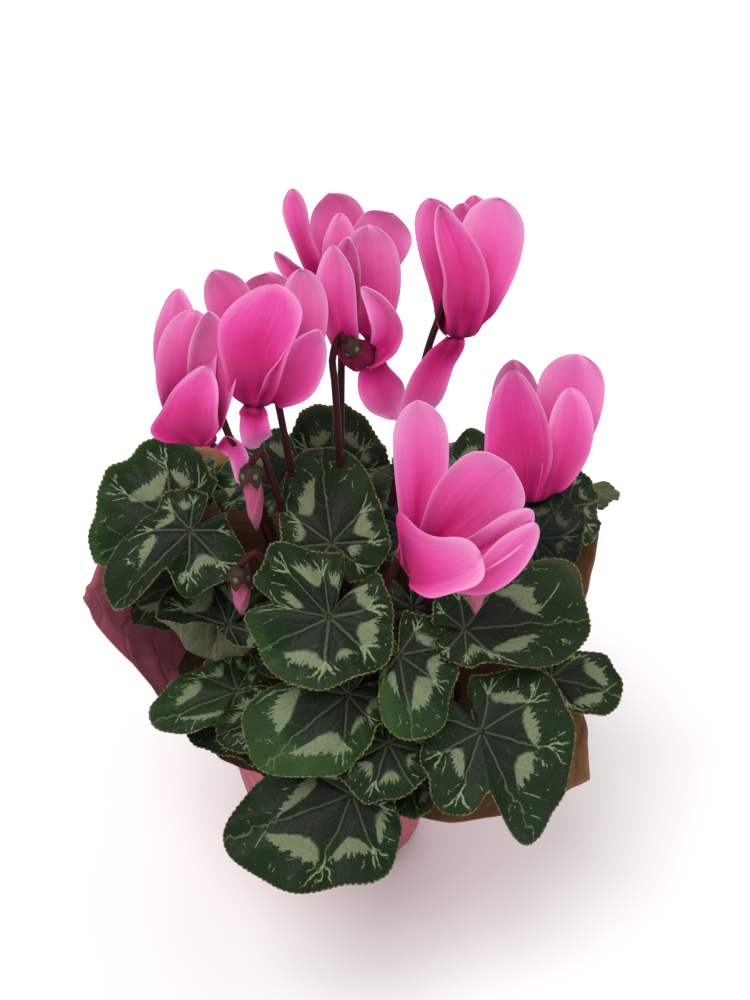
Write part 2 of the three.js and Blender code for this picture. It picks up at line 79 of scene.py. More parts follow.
# Leaves: name; bearing, distance out and height of the place where stalk meets blade;
# bearing the tip points to; degrees the tip dips; degrees the blade rolls to its right;
# reach to the tip, to the left edge, to the right edge and to the two lobes behind.
# swells and lifts: [direction from the tip, half width, mm] of bulges in the outline
# and of waves in the surface; cup: fall of the margin; skew: turn of the notch.
LEAVES = [
  ["leaf_front_centre", 0, 80, 215, -75, 20, -40, 37, 31, 38, 30,
    {"skew": 40, "swells": [[-50, 9, -12], [-95, 18, 4]], "lifts": [[-60, 20, 5], [40, 40, 3]]}],
  ["leaf_upper_centre", 0, 36, 222, -172, -35, 0, 50, 25, 28, 23, {"swells": [[-30, 14, 3]]}],
  ["leaf_left_upper", -85, 76, 212, -85, 20, -30, 46, 14, 44, 30,
    {"swells": [[-50, 16, 5], [150, 30, -16]], "lifts": [[-90, 55, 6]]}],
  ["leaf_left_front", -75, 70, 216, -57, 30, -25, 54, 32, 23, 20,
    {"swells": [[27, 13, -22]], "lifts": [[28, 18, 9]]}],
  ["leaf_left_rolled", -50, 65, 177, -72, 22, -25, 43, 33, 35, 28, {"lifts": [[8, 45, 12]]}],
  ["leaf_left_low", -40, 72, 147, -75, 15, -25, 45, 12, 24, 17,
    {"swells": [[36, 22, -6]], "lifts": [[50, 30, -4]]}],
  ["leaf_left_tucked", -25, 80, 145, -85, 20, -30, 24, 16, 18, 16, {}],
  ["leaf_left_under", -35, 70, 126, -100, 10, -25, 35, 17, 24, 17, {}],
  ["leaf_low_centre", 5, 87, 175, -60, 25, -35, 52, 28, 25, 20,
    {"swells": [[-30, 16, 7], [92, 16, -7]], "lifts": [[95, 22, 5], [45, 30, -2]]}],
  ["leaf_bottom_front", 5, 106, 130, -78, 17, -45, 61, 40, 23, 20, {"swells": [[28, 18, 5]]}],
  ["leaf_bottom_centre", 15, 100, 154, 35, 30, 15, 25, 23, 27, 18, {}],
  ["leaf_centre_upright", 20, 90, 197, 12, 45, -6, 40, 31, 8, 22,
    {"swells": [[-150, 40, -13]], "lifts": [[90, 40, -3]]}],
  ["leaf_right_low", 36, 116, 159, 40, 44, 16, 56, 43, 30, 26,
    {"swells": [[-23, 10, -20], [-58, 18, 9]], "lifts": [[-23, 12, 6]]}],
  ["leaf_right_centre", 40, 94, 201, 99, 2, 38, 54, 24, 17, 16,
    {"swells": [[28, 16, 18], [-30, 13, 6]], "lifts": [[38, 20, 7], [-40, 25, 3]]}],
  ["leaf_right_pointed", 61, 119, 158, 93, 18, 28, 40, 22, 14, 15, {}],
  ["leaf_right_upper", 97, 116, 205, 120, 5, 30, 21, 26, 21, 15, {"lifts": [[60, 25, 3]]}],
  ["leaf_right_shaded", 77, 98, 214, 140, -23, 28, 29, 23, 23, 19, {}],
  ["leaf_centre_shaded", 70, 39, 213, -165, -25, -12, 38, 22, 23, 19, {}],
  ["leaf_back_centre", 180, 36, 212, -176, -20, 0, 35, 30, 29, 24, {"cup": -6}],
  ["leaf_back_left", -106, 28, 222, -160, -22, -30, 37, 16, 15, 14, {}],
  ["leaf_left_deep", -94, 74, 168, -84, 23, -22, 42, 27, 26, 18, {}],
  ["leaf_back_right", 116, 80, 206, 165, -8, 5, 37, 29, 29, 22, {}],
  ["leaf_back_low", 172, 77, 182, 175, 22, 0, 37, 29, 29, 22, {}],
  ["leaf_back_low_left", -142, 78, 190, -137, 18, 0, 41, 28, 29, 21, {}],
  ["leaf_back_low_right", 132, 95, 172, 138, 15, 0, 35, 26, 27, 20, {}],
  ["leaf_left_back", -118, 92, 200, -115, 8, -5, 39, 26, 27, 20, {}],
  ["leaf_right_back", 110, 124, 194, 115, 9, -20, 35, 16, 16, 13, {}],
  ["leaf_centre_deep", 36, 64, 196, 24, 45, 8, 28, 25, 26, 18, {"foot": 20}],
  ["leaf_left_inner", -26, 45, 176, 18, 50, 14, 29, 25, 26, 17, {}],
  ["leaf_bottom_deep", 24, 91, 118, 10, 18, 0, 21, 19, 19, 14, {"foot": 17}],
  ["leaf_right_deep", 74, 92, 166, 60, 27, 6, 29, 25, 26, 18, {}],
  ["leaf_back_top_left", -140, 61, 197, -140, 4, 0, 31, 26, 27, 19, {}],
  ["leaf_olive_tip", 143, 76, 200, 153, 5, 0, 31, 18, 18, 13, {}],
]

# Flowers. mouth: bearing, distance out and height of the corolla mouth; opens: the
# bearing it looks to and its tilt from straight down; crook: the bearing its stem
# comes over from, and the radius of the bend. Each petal: bearing of its root on the
# mouth; length; lean of its tip to the right; lean to the back; sideways bow; half
# width; where along it that is widest; turn of its face.
FLOWERS = [
  {"name": "left", "mouth": [-66, 64, 273], "opens": [-10, 17], "crook": [80, 7],
   "petals": [
     [-120, 67, -7, 32, -2, 11, 0.55, 15],
     [-70, 57, 1, 22, -3, 13, 0.58, -10],
     [60, 57, 7, 20, 2, 11.5, 0.55, 20],
     [0, 36, 5, 6, -3, 12, 0.35, 0],
     [90, 27, 142, 5, -7, 4.5, 0.6, 0]]},
  {"name": "left_centre", "mouth": [-61, 38, 289], "opens": [-18, 18], "crook": [140, 5],
   "petals": [
     [-140, 60, -16, 32, 3, 11, 0.65, 15],
     [170, 57, 6, 36, 2, 13, 0.65, 0],
     [100, 60, 19, 28, 8, 11, 0.6, -20],
     [0, 53, 6, 12, -1, 15.5, 0.68, 5],
     [45, 43, 42, 10, 1, 12, 0.55, -15],
     [0, 22, 178, 0, 0, 7, 0.5, 0]]},
  {"name": "back_centre", "mouth": [175, 24, 322], "opens": [180, 17], "crook": [25, 4],
   "petals": [
     [-90, 48, -24, 25, -3, 6, 0.7, -30],
     [-70, 31, -56, 10, -2, 4.5, 0.6, 10],
     [180, 44, -4, 36, 3, 13, 0.52, 0],
     [130, 43, 39, 25, 3, 13.5, 0.62, 0],
     [20, 32, 5, 20, 0, 8, 0.55, 0]]},
  {"name": "front_centre", "mouth": [94, 14, 300], "opens": [132, 42], "crook": [-90, 4],
   "petals": [
     [120, 58, 3, 25, 1, 13.5, 0.6, 5],
     [-60, 50, -14, 20, -2, 9, 0.6, 15],
     [-100, 53, -6, 24, -2, 7.5, 0.6, -15],
     [60, 34, 2, 5, 9, 7, 0.5, 10],
     [60, 36, 152, 0, 1, 10, 0.42, 0]]},
  {"name": "right_centre", "mouth": [90, 58, 313], "opens": [10, 18], "crook": [-90, 5],
   "petals": [
     [-120, 60, -13, 30, 1, 9.5, 0.72, 10],
     [180, 57, 2, 34, 0, 8, 0.6, 20],
     [0, 57, -5, 12, 3, 10.5, 0.42, 0],
     [150, 61, 6, 36, 2, 10, 0.6, 0],
     [80, 60, 16, 22, 0, 14, 0.67, 5],
     [-30, 58, -157, 0, 4, 9.5, 0.6, 12]]},
  {"name": "right", "mouth": [88, 95, 226], "opens": [10, 18], "crook": [-150, 4],
   "petals": [
     [-150, 65, -8, 30, -1, 12, 0.55, 0],
     [-30, 62, -9, 15, -2, 15, 0.45, 0],
     [45, 55, 16, 15, 5, 11, 0.55, -10],
     [130, 70, 17, 30, 3, 16, 0.64, 0],
     [-100, 33, -80, 20, 2, 6.5, 0.6, 0]]},
  {"name": "front", "mouth": [20, 98, 253], "opens": [-69, 62], "crook": [-135, 6],
   "petals": [
     [160, 70, 3, 30, 3, 11.5, 0.66, 0],
     [120, 61, 44, 20, 0, 17, 0.62, 0],
     [-20, 31, 78, 12, 0, 13, 0.6, 0],
     [60, 56, 68, 8, 12, 10.5, 0.55, -20],
     [90, 57, 63, 14, 6, 8, 0.65, 10]]},
]

# Buds: calyx, bearing the furled corolla hangs to and its tilt, its length and radius.
BUDS = [
  {"name": "bud_left", "calyx": [-49, 47, 258], "hangs": [30, 4], "long": 27, "radius": 4.2,
   "crook": [120, 5]},
  {"name": "bud_low_left", "calyx": [-38, 67, 217], "hangs": [-10, 3], "long": 19, "radius": 4.2,
   "crook": [100, 8]},
  {"name": "bud_front", "calyx": [41, 98, 236], "hangs": [0, 4], "long": 19, "radius": 4,
   "crook": [-155, 4]},
]

# Corners of the wrap's rim: bearing, distance out, height.
WRAP_RIM = [
  [-170, 118, 158], [-130, 122, 200], [-110, 118, 170], [-90, 124, 170], [-80, 126, 178], [-70, 96, 128],
  [-50, 82, 106], [-30, 72, 98], [-10, 82, 107], [10, 88, 106], [30, 110, 101], [60, 143, 104],
  [80, 118, 140], [100, 137, 188], [120, 124, 152], [160, 118, 158],
]

# How single leaves look. silver: patches as [direction, half width, start, end], the last
# two as shares of the reach; curls: margins that bend, as [direction, half width, start,
# degrees] and, where only the first part of the rest bends, that part's share; olive and
# bright: tinted margins as [direction, half width, start, amount]; shade, the darkness
# among other leaves, and fresh, the paleness of a young leaf: 0 to 1.
LOOKS = {
    "leaf_front_centre": {
        "silver": [[-158, 14, 0.48, 0.68], [-117, 17, 0.42, 0.70], [-62, 11, 0.36, 0.62],
                   [32, 22, 0.52, 0.74], [72, 12, 0.52, 0.64], [108, 18, 0.44, 0.74],
                   [152, 20, 0.50, 0.74]],
        "bright": [[0, 40, 0.80, 0.25]]},
    "leaf_upper_centre": {
        "silver": [[-112, 17, 0.30, 0.50], [-68, 20, 0.42, 0.72], [24, 16, 0.42, 0.68],
                   [66, 20, 0.50, 0.70]]},
    "leaf_left_upper": {
        "silver": [[-68, 26, 0.38, 0.62], [-112, 16, 0.46, 0.62]],
        "curls": [[-78, 42, 0.80, 55], [-150, 30, 0.7, 40]],
        "bright": [[-75, 50, 0.90, 0.35], [0, 26, 0.86, 0.3]]},
    "leaf_left_front": {
        "silver": [[-70, 24, 0.44, 0.66], [-24, 16, 0.40, 0.58], [70, 22, 0.44, 0.66],
                   [-120, 16, 0.5, 0.7]],
        "curls": [[50, 20, 0.7, -40]]},
    "leaf_left_rolled": {
        "silver": [[-70, 26, 0.40, 0.66], [-120, 20, 0.4, 0.6], [120, 20, 0.4, 0.6]],
        "curls": [[42, 72, 0.45, 160, 0.35]]},
    "leaf_low_centre": {
        "silver": [[30, 22, 0.46, 0.74], [72, 16, 0.46, 0.60], [-28, 20, 0.50, 0.72],
                   [-116, 24, 0.4, 0.6], [116, 20, 0.44, 0.62]],
        "curls": [[96, 18, 0.62, 70]],
        "bright": [[20, 36, 0.62, 0.35]]},
    "leaf_bottom_front": {
        "silver": [[24, 20, 0.50, 0.70], [70, 20, 0.48, 0.68], [-24, 20, 0.40, 0.58],
                   [-70, 24, 0.40, 0.66], [116, 18, 0.5, 0.7]],
        "shade": 0.12},
    "leaf_right_low": {
        "silver": [[24, 18, 0.42, 0.60], [68, 22, 0.46, 0.62], [-70, 20, 0.36, 0.56],
                   [114, 22, 0.44, 0.64]],
        "curls": [[-60, 24, 0.75, -35]]},
    "leaf_right_centre": {
        "silver": [[26, 20, 0.44, 0.62], [66, 22, 0.5, 0.74], [-26, 18, 0.40, 0.6],
                   [-70, 22, 0.44, 0.70]],
        "curls": [[70, 30, 0.82, 50]],
        "olive": [[70, 34, 0.90, 0.5]]},
    "leaf_centre_upright": {
        "silver": [[-24, 14, 0.3, 0.5], [26, 22, 0.36, 0.66], [66, 20, 0.46, 0.7],
                   [112, 22, 0.4, 0.6]],
        "bright": [[-60, 40, 0.5, 0.5]]},
    "leaf_left_low": {"fresh": 0.1, "olive": [[-60, 60, 0.94, 0.3]]},
    "leaf_back_centre": {"olive": [[0, 70, 0.90, 0.5]], "shade": 0.45, "curls": [[0, 60, 0.8, 45]]},
    "leaf_right_back": {"olive": [[0, 60, 0.3, 0.55]], "silver": []},
    "leaf_olive_tip": {"olive": [[0, 160, 0.2, 0.6]], "silver": []},
    "leaf_centre_shaded": {"shade": 0.55, "olive": [[30, 30, 0.85, 0.6]]},
    "leaf_bottom_deep": {"shade": 0.3, "bright": [[0, 50, 0.8, 0.4]]},
    "leaf_back_left": {"shade": 0.25},
    "leaf_right_shaded": {"shade": 0.75},
    "leaf_left_deep": {"shade": 0.35},
    "leaf_left_under": {"shade": 0.2},
    "leaf_left_tucked": {"shade": 0.25},
    "leaf_centre_deep": {"shade": 0.4},
    "leaf_left_inner": {"shade": 0.5},
    "leaf_right_deep": {"shade": 0.4},
    "leaf_bottom_centre": {"shade": 0.1},
}
PLAIN_LEAF = {"swells": [], "lifts": [], "cup": 3, "skew": 0, "silver": None, "curls": [],
              "olive": [], "bright": [], "shade": 0.0, "fresh": 0.0}
# leaves that can hardly be seen, and leaves that lean on the paper
HIDDEN_LEAVES = {"leaf_back_low", "leaf_back_low_left", "leaf_back_low_right", "leaf_left_deep",
                 "leaf_centre_deep", "leaf_left_inner", "leaf_bottom_deep", "leaf_right_deep",
                 "leaf_back_top_left", "leaf_olive_tip", "leaf_back_right", "leaf_left_back"}
LEANING_LEAVES = {"leaf_left_deep", "leaf_back_low_left", "leaf_back_low", "leaf_back_low_right"}

# How single petals look, in the order of the flowers' petals. heat_and_shade: how deep the
# pink is painted, 0 to 1, partly the pink's own depth and partly painted shade in the hollow
# of petals that face forward; twist: degrees from root to tip; shift: mm the tip leans
# sideways; blunt: 0 is a pointed tip, 1 a square one; cup: depth as a share of the half
# width; crease, tip and lift: mm that the midline sinks, that the tip stands out and that
# the petal stands out; hug and reach: shares of the length, held by the mouth and kept;
# bumps: [side, place along, half width, mm] of bulges in the outline; rolls: [side, start,
# mm] of rolled edges.
PETAL_LOOKS = {
    "left": [{"heat_and_shade": 0.35, "shift": 1},
             {"heat_and_shade": 0.45, "cup": 0.5, "blunt": 0.5, "twist": 30},
             {"heat_and_shade": 0.3, "twist": -25, "rolls": [[-1, 0.3, 4]]},
             {"heat_and_shade": 0.9, "cup": 0.26, "bumps": [[-1, 0.3, 0.15, 6]], "shift": 3, "crease": 1.6},
             {"heat_and_shade": 0.3}],
    "left_centre": [{"heat_and_shade": 0.35, "shift": -1},
                    {"heat_and_shade": 0.3, "blunt": 0.6},
                    {"heat_and_shade": 0.25, "blunt": 0.6},
                    {"heat_and_shade": 0.95, "shift": 6, "cup": 0.34, "blunt": 0.35, "hug": 0.16,
                     "bumps": [[-1, 0.72, 0.2, 3], [-1, 0.12, 0.2, 3], [1, 0.12, 0.2, 2]]},
                    {"heat_and_shade": 0.8, "cup": 0.45, "shift": -1, "rolls": [[-1, 0.3, 3]], "hug": 0.12},
                    {"heat_and_shade": 0.1, "blunt": 0.8}],
    "back_centre": [{"heat_and_shade": 0.6, "twist": 30},
                    {"heat_and_shade": 0.5},
                    {"heat_and_shade": 0.2},
                    {"heat_and_shade": 0.15, "blunt": 0.7},
                    {"heat_and_shade": 0.45}],
    "front_centre": [{"heat_and_shade": 0.3, "blunt": 0.3},
                     {"heat_and_shade": 0.45, "shift": 1},
                     {"heat_and_shade": 0.75, "rolls": [[1, 0.3, 3]]},
                     {"heat_and_shade": 0.4, "cup": 0.4},
                     {"heat_and_shade": 0.3, "shift": 2, "blunt": 0, "hug": 0.12}],
    "right_centre": [{"heat_and_shade": 0.7, "blunt": 0.4},
                     {"heat_and_shade": 0.4},
                     {"heat_and_shade": 0.9, "shift": -5, "crease": 1.8, "rolls": [[-1, 0.25, 4]]},
                     {"heat_and_shade": 0.3},
                     {"heat_and_shade": 0.1, "blunt": 0.5},
                     {"heat_and_shade": 0.4, "twist": 40}],
    "right": [{"heat_and_shade": 0.45},
              {"heat_and_shade": 0.95, "cup": 0.42, "crease": 1.6, "shift": -1,
               "bumps": [[-1, 0.3, 0.2, 3]]},
              {"heat_and_shade": 0.55, "blunt": 0.5, "cup": 0.2},
              {"heat_and_shade": 0.1, "blunt": 0.6},
              {"heat_and_shade": 0.4}],
    "front": [{"heat_and_shade": 0.1, "blunt": 0.3, "crease": 0.4},
              {"heat_and_shade": 0.55, "blunt": 0.9, "crease": 1.4},
              {"heat_and_shade": 0.35, "blunt": 1.0, "cup": 0.3, "crease": 0.1, "tip": 3, "hug": 0.08,
               "lift": 6, "reach": 0.84,
               "bumps": [[-1, 0.14, 0.26, 24], [-1, 0.5, 0.3, 4], [1, 0.5, 0.4, -5]]},
              {"heat_and_shade": 0.5, "cup": 0.2, "lift": -1},
              {"heat_and_shade": 0.35, "cup": 0.3}],
}
PLAIN_PETAL = {"twist": 18, "shift": 0.0, "blunt": 0.2, "cup": 0.30, "crease": 0.8, "tip": 2.0,
               "lift": 0.0, "hug": 0.20, "reach": 1.0, "bumps": [], "rolls": []}



# ---------------------------------------------------------------- small maths
def unit(v):
    v = np.asarray(v, float)
    return v / np.linalg.norm(v, axis=-1, keepdims=True)


def smoothstep(x, low=0.0, high=1.0):
    t = np.clip((np.asarray(x, float) - low) / (high - low), 0, 1)
    return t * t * (3 - 2 * t)


def bell(x):
    return np.exp(-np.square(x))


def heading(bearing):
    a = math.radians(bearing)
    return np.array([math.sin(a), -math.cos(a), 0.0])


def spot(place):
    bearing, out, up = place
    return heading(bearing) * out + UP * up


def between(a, b, angle):
    """The vector that lies `angle` degrees from a towards b."""
    return a * math.cos(math.radians(angle)) + b * math.sin(math.radians(angle))


def hanging(turn):
    """The way that a (bearing, tilt from straight down) looks."""
    bearing, tilt = turn
    return between(-UP, heading(bearing), tilt)


def circle(sides):
    return np.arange(sides) * 2 * np.pi / sides


def spaced(line, count):
    """The same line, resampled at even distances."""
    run = np.concatenate([[0], np.cumsum(np.linalg.norm(np.diff(line, axis=0), axis=1))])
    at = np.linspace(0, run[-1], count)
    return np.stack([np.interp(at, run, line[:, c]) for c in range(3)], axis=1)


def spline(points, count):
    """Evenly spaced samples of a centripetal Catmull-Rom curve through the points."""
    pts = np.asarray(points, float)
    chord = np.sqrt(np.linalg.norm(np.diff(pts, axis=0), axis=1))
    knots = np.concatenate([[0], np.cumsum(chord)])
    ends = np.vstack([2 * pts[0] - pts[1], pts, 2 * pts[-1] - pts[-2]])
    ks = np.concatenate([[-knots[1]], knots, [2 * knots[-1] - knots[-2]]])
    fine = []
    for i in range(1, len(ks) - 2):
        for t in np.linspace(ks[i], ks[i + 1], 24, endpoint=False):
            p, k = ends[i - 1:i + 3], ks[i - 1:i + 3]
            a = [p[j] + (p[j + 1] - p[j]) * (t - k[j]) / (k[j + 1] - k[j]) for j in range(3)]
            b = [a[j] + (a[j + 1] - a[j]) * (t - k[j]) / (k[j + 2] - k[j]) for j in range(2)]
            fine.append(b[0] + (b[1] - b[0]) * (t - k[1]) / (k[2] - k[1]))
    return spaced(np.array(fine + [pts[-1]]), count)


def fuzz(x, y, z, scale):
    """Smooth noise, -1 to 1, at arrays of points."""
    flat = zip(np.ravel(x * scale), np.ravel(y * scale), np.ravel(z * scale))
    return np.array([noise.noise(Vector(p)) for p in flat]).reshape(np.shape(x))


# ---------------------------------------------------------------- meshes
class Form:
    """Vertices (mm), faces, face materials and named vertex vectors, gathered into one mesh."""

    def __init__(self):
        self.verts = []
        self.faces = []
        self.mats = []
        self.data = {}
        self.count = 0

    def add(self, verts, faces, mats, **data):
        """mats is one material or one per face; each data is one vector or one per vertex."""
        verts = np.asarray(verts, float).reshape(-1, 3)
        self.verts.append(verts)
        self.faces += [[k + self.count for k in face] for face in faces]
        self.mats += list(mats) if np.ndim(mats) else [mats] * len(faces)
        for key in sorted(set(data) | set(self.data)):
            have = self.data.setdefault(key, np.zeros((self.count, 3)))
            more = np.asarray(data.get(key, (0, 0, 0)), float).reshape(-1, 3)
            self.data[key] = np.vstack([have, np.broadcast_to(more, verts.shape)])
        self.count += len(verts)

    def piece(self, name, materials, node):
        mesh = bpy.data.meshes.new(name)
        mesh.from_pydata((np.vstack(self.verts) * MM).tolist(), [], self.faces)
        mesh.polygons.foreach_set("material_index", self.mats)
        mesh.polygons.foreach_set("use_smooth", [True] * len(self.faces))
        for key, values in self.data.items():
            layer = mesh.attributes.new(key, "FLOAT_VECTOR", "POINT")
            layer.data.foreach_set("vector", values.astype(np.float32).ravel())
        for material in materials:
            mesh.materials.append(material)
        mesh.update()
        made = bpy.data.objects.new(name, mesh)
        bpy.context.collection.objects.link(made)
        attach(made, "root")
        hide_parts(node)


def stacked(shape, *parts):
    """One vector per grid point from three arrays or numbers."""
    return np.stack([np.broadcast_to(part, shape) for part in parts], axis=2)


def grid_normals(p):
    n = np.cross(np.gradient(p, axis=0), np.gradient(p, axis=1))
    return n / np.maximum(np.linalg.norm(n, axis=2), 1e-9)[:, :, None]


def add_sheet(form, p, thick, mats=(0, 0, 0), data=None, closed=False):
    """Thin closed solid about a grid of points: mats for its two faces and its edge."""
    n, m = p.shape[:2]
    if closed:
        normals = grid_normals(np.concatenate([p[-1:], p, p[:1]], axis=0))[1:-1]
    else:
        normals = grid_normals(p)
    half = normals * thick / 2
    verts = np.concatenate([(p + half).reshape(-1, 3), (p - half).reshape(-1, 3)])
    under = n * m
    faces, ids = [], []

    def wall(a, b, turn):
        quad = [a, under + a, under + b, b]
        faces.append(quad[::-1] if turn else quad)
        ids.append(mats[2])

    for i in range(n if closed else n - 1):
        here, there = i * m, (i + 1) % n * m
        for j in range(m - 1):
            a, b, c, d = here + j, there + j, there + j + 1, here + j + 1
            faces.append([a, b, c, d])
            faces.append([under + d, under + c, under + b, under + a])
            ids += [mats[0], mats[1]]
        wall(here, there, False)
        wall(here + m - 1, there + m - 1, True)
    if not closed:
        for j in range(m - 1):
            wall(j, j + 1, True)
            wall((n - 1) * m + j, (n - 1) * m + j + 1, False)
    both = {key: np.concatenate([v.reshape(-1, 3)] * 2) for key, v in (data or {}).items()}
    form.add(verts, faces, ids, **both)


def add_rings(form, rings, first, last, mat, **data):
    """Closed solid through rings of points, with a fan to one point at each end."""
    count, sides = rings.shape[:2]
    cap = count * sides
    faces = []
    for k in range(sides):
        q = (k + 1) % sides
        faces += [[a + k, a + q, a + sides + q, a + sides + k] for a in range(0, cap - sides, sides)]
        faces += [[cap, q, k], [cap + 1, cap - sides + k, cap - sides + q]]
    form.add(np.vstack([rings.reshape(-1, 3), first, last]), faces, mat, **data)


def add_tube(form, line, radii, sides, mat, mark, lobes=None):
    """Closed round bar along a line. mark(k, angle) gives what the stalk shaders read;
    lobes(k, angles) may swell the radius."""
    tangent = unit(np.gradient(line, axis=0))
    u = UP if abs(tangent[0][2]) < 0.9 else np.array([1.0, 0, 0])
    angles = circle(sides)
    along = np.linspace(0, 1, len(line))
    rings = []
    for k, p, t, r in zip(along, line, tangent, radii):
        u = unit(u - t * np.dot(u, t))
        w = np.cross(t, u)
        r = np.broadcast_to(r * (1 if lobes is None else lobes(k, angles)), angles.shape)
        rings.append(p + np.outer(r * np.cos(angles), u) + np.outer(r * np.sin(angles), w))
    marks = [mark(k, a) for k in along for a in angles] + [mark(0.0, 0.0), mark(1.0, 0.0)]
    add_rings(form, np.array(rings), line[0], line[-1], mat, stalk=marks)


def add_turned(form, profile, sides, axis=UP, at=(0, 0, 0), lobes=1.0, **data):
    """Closed solid of revolution; profile of (radius, height) from axis to axis."""
    z = unit(axis)
    x = unit(np.cross(z, (0.3, 0.9, 0.1)))
    y = np.cross(z, x)
    cos, sin = np.cos(circle(sides)), np.sin(circle(sides))
    rings = np.array([at + z * h + np.outer(r * lobes * cos, x) + np.outer(r * lobes * sin, y)
                      for r, h in profile])
    add_rings(form, rings[1:-1], rings[0, 0], rings[-1, 0], 0, **data)


# ---------------------------------------------------------------- shader notation
def srgb(text):
    values = [int(text[i:i + 2], 16) / 255 for i in (1, 3, 5)]
    return tuple(v / 12.92 if v < 0.04045 else ((v + 0.055) / 1.055) ** 2.4 for v in values) + (1.0,)


class Field:
    """A value in a material's node tree. Arithmetic on it adds Math nodes."""

    def __init__(self, graph, socket):
        self.graph = graph
        self.socket = socket

    def __add__(self, other):
        return self.graph.math("ADD", self, other)

    def __sub__(self, other):
        return self.graph.math("SUBTRACT", self, other)

    def __rsub__(self, other):
        return self.graph.math("SUBTRACT", other, self)

    def __mul__(self, other):
        return self.graph.math("MULTIPLY", self, other)

    def __abs__(self):
        return self.graph.math("ABSOLUTE", self)


class Graph:
    """A material's node tree. Values are Fields, numbers, tuples, or colours as #rrggbb."""

    def __init__(self, name):
        self.material = bpy.data.materials.new(name)
        self.material.use_nodes = True
        self.tree = self.material.node_tree
        self.shader = self.tree.nodes["Principled BSDF"]

    def put(self, socket, value):
        if isinstance(value, Field):
            self.tree.links.new(value.socket, socket)
        else:
            socket.default_value = srgb(value) if isinstance(value, str) else value

    def node(self, kind, output=0, inputs=None, **settings):
        """Output of a new node; inputs are given by name or number."""
        made = self.tree.nodes.new("ShaderNode" + kind)
        for key, value in settings.items():
            setattr(made, key, value)
        for key, value in (inputs or {}).items():
            self.put(made.inputs[key], value)
        return Field(self, made.outputs[output])

    def math(self, operation, *values):
        return self.node("Math", inputs=dict(enumerate(values)), operation=operation)

    def top(self, a, b):
        return self.math("MAXIMUM", a, b)

    def root(self, a):
        return self.math("SQRT", a)

    def step(self, value, low, high, a=0.0, b=1.0):
        """Goes smoothly from a to b as the value goes from low to high."""
        inputs = dict(enumerate((value, low, high, a, b)))
        return self.node("MapRange", inputs=inputs, interpolation_type="SMOOTHSTEP")

    def parts(self, name):
        """A mesh attribute's three numbers, and the whole vector."""
        vector = self.node("Attribute", "Vector", attribute_name=name)
        split = self.tree.nodes.new("ShaderNodeSeparateXYZ")
        self.put(split.inputs[0], vector)
        return [Field(self, output) for output in split.outputs] + [vector]

    def vector(self, x, y, z):
        return self.node("CombineXYZ", inputs={0: x, 1: y, 2: z})

    def place(self):
        return self.node("TexCoord", "Object")

    def noise(self, vector, scale, detail=3.0, rough=0.55, twist=0.0):
        return self.node("TexNoise", inputs={"Vector": vector, "Scale": scale, "Detail": detail,
                                             "Roughness": rough, "Distortion": twist})

    def cells(self, vector, scale, feature="F1"):
        return self.node("TexVoronoi", inputs={"Vector": vector, "Scale": scale}, feature=feature)

    def mix(self, amount, a, b):
        return self.node("Mix", 2, {0: amount, 6: a, 7: b}, data_type="RGBA", clamp_factor=True)

    def ramp(self, value, *stops):
        made = self.tree.nodes.new("ShaderNodeValToRGB")
        self.put(made.inputs[0], value)
        items = made.color_ramp.elements
        while len(items) < len(stops):
            items.new(0.5)
        for item, (at, colour) in zip(items, stops):
            item.position = at
            item.color = srgb(colour)
        return Field(self, made.outputs[0])

    def bump(self, height, strength, distance, under=None):
        inputs = {"Height": height, "Strength": strength, "Distance": distance}
        if under is not None:
            inputs["Normal"] = under
        return self.node("Bump", inputs=inputs)

    def finish(self, colour, rough, normal=None, **fixed):
        self.put(self.shader.inputs["Base Color"], colour)
        self.put(self.shader.inputs["Roughness"], rough)
        if normal is not None:
            self.put(self.shader.inputs["Normal"], normal)
        for key, value in fixed.items():
            self.shader.inputs[key.replace("_", " ")].default_value = value
        return self.material


# ---------------------------------------------------------------- leaf materials
VEIN_WANDER = (0.30, 0.07)    # sway and wiggle of a vein, as a share of the angle between veins
VEIN_FORK = (0.52, 0.24)      # nearest share of the reach at which a vein forks, and the spread
SIDE_VEIN_GAP = 12.5          # mm from one side vein to the next
SIDE_VEIN_SLANT = 1.2
RAGGED_MM = 13.0              # how deep a silver patch's outer edge is torn
SILVERY = "#8d9d76"


def leaf_veins(g):
    """Distances in mm to the leaf's main veins, to their forked ends and to the side veins."""
    x, y, seed, flat = g.parts("flat")
    w, pitch, f, _ = g.parts("vein")
    edge = g.parts("silver")[2]
    r = g.root(x * x + y * y)
    wander = g.noise(flat, 0.09, 2.0) - 0.5
    wiggle = g.noise(flat, 0.40, 2.0) - 0.5
    turn = w + (wander * VEIN_WANDER[0] + wiggle * VEIN_WANDER[1]) * g.step(f, 0.0, 0.5)
    index = g.math("ROUND", turn)
    near = turn - index
    away = abs(near) * pitch * r
    side = g.math("SIGN", near)
    chance = g.noise(g.vector(index * 5.7, seed, 0.5), 1.0, 0.0)
    past = f - (chance * VEIN_FORK[1] + VEIN_FORK[0])
    arm = abs(away - past * edge * (side * 0.12 + 0.50))
    climb = r - away * SIDE_VEIN_SLANT + (wander * 10.0 + wiggle * 3.0)
    phase = climb * (1 / SIDE_VEIN_GAP) + side * 0.23
    branch = abs(g.math("FRACT", phase) - 0.5) * 8.0
    middle = g.step(abs(w), 0.5, 0.45)
    return SimpleNamespace(seed=seed, flat=flat, w=w, f=f, r=r, away=away, arm=arm, past=past,
                           branch=branch, wander=wander, wiggle=wiggle, middle=middle)


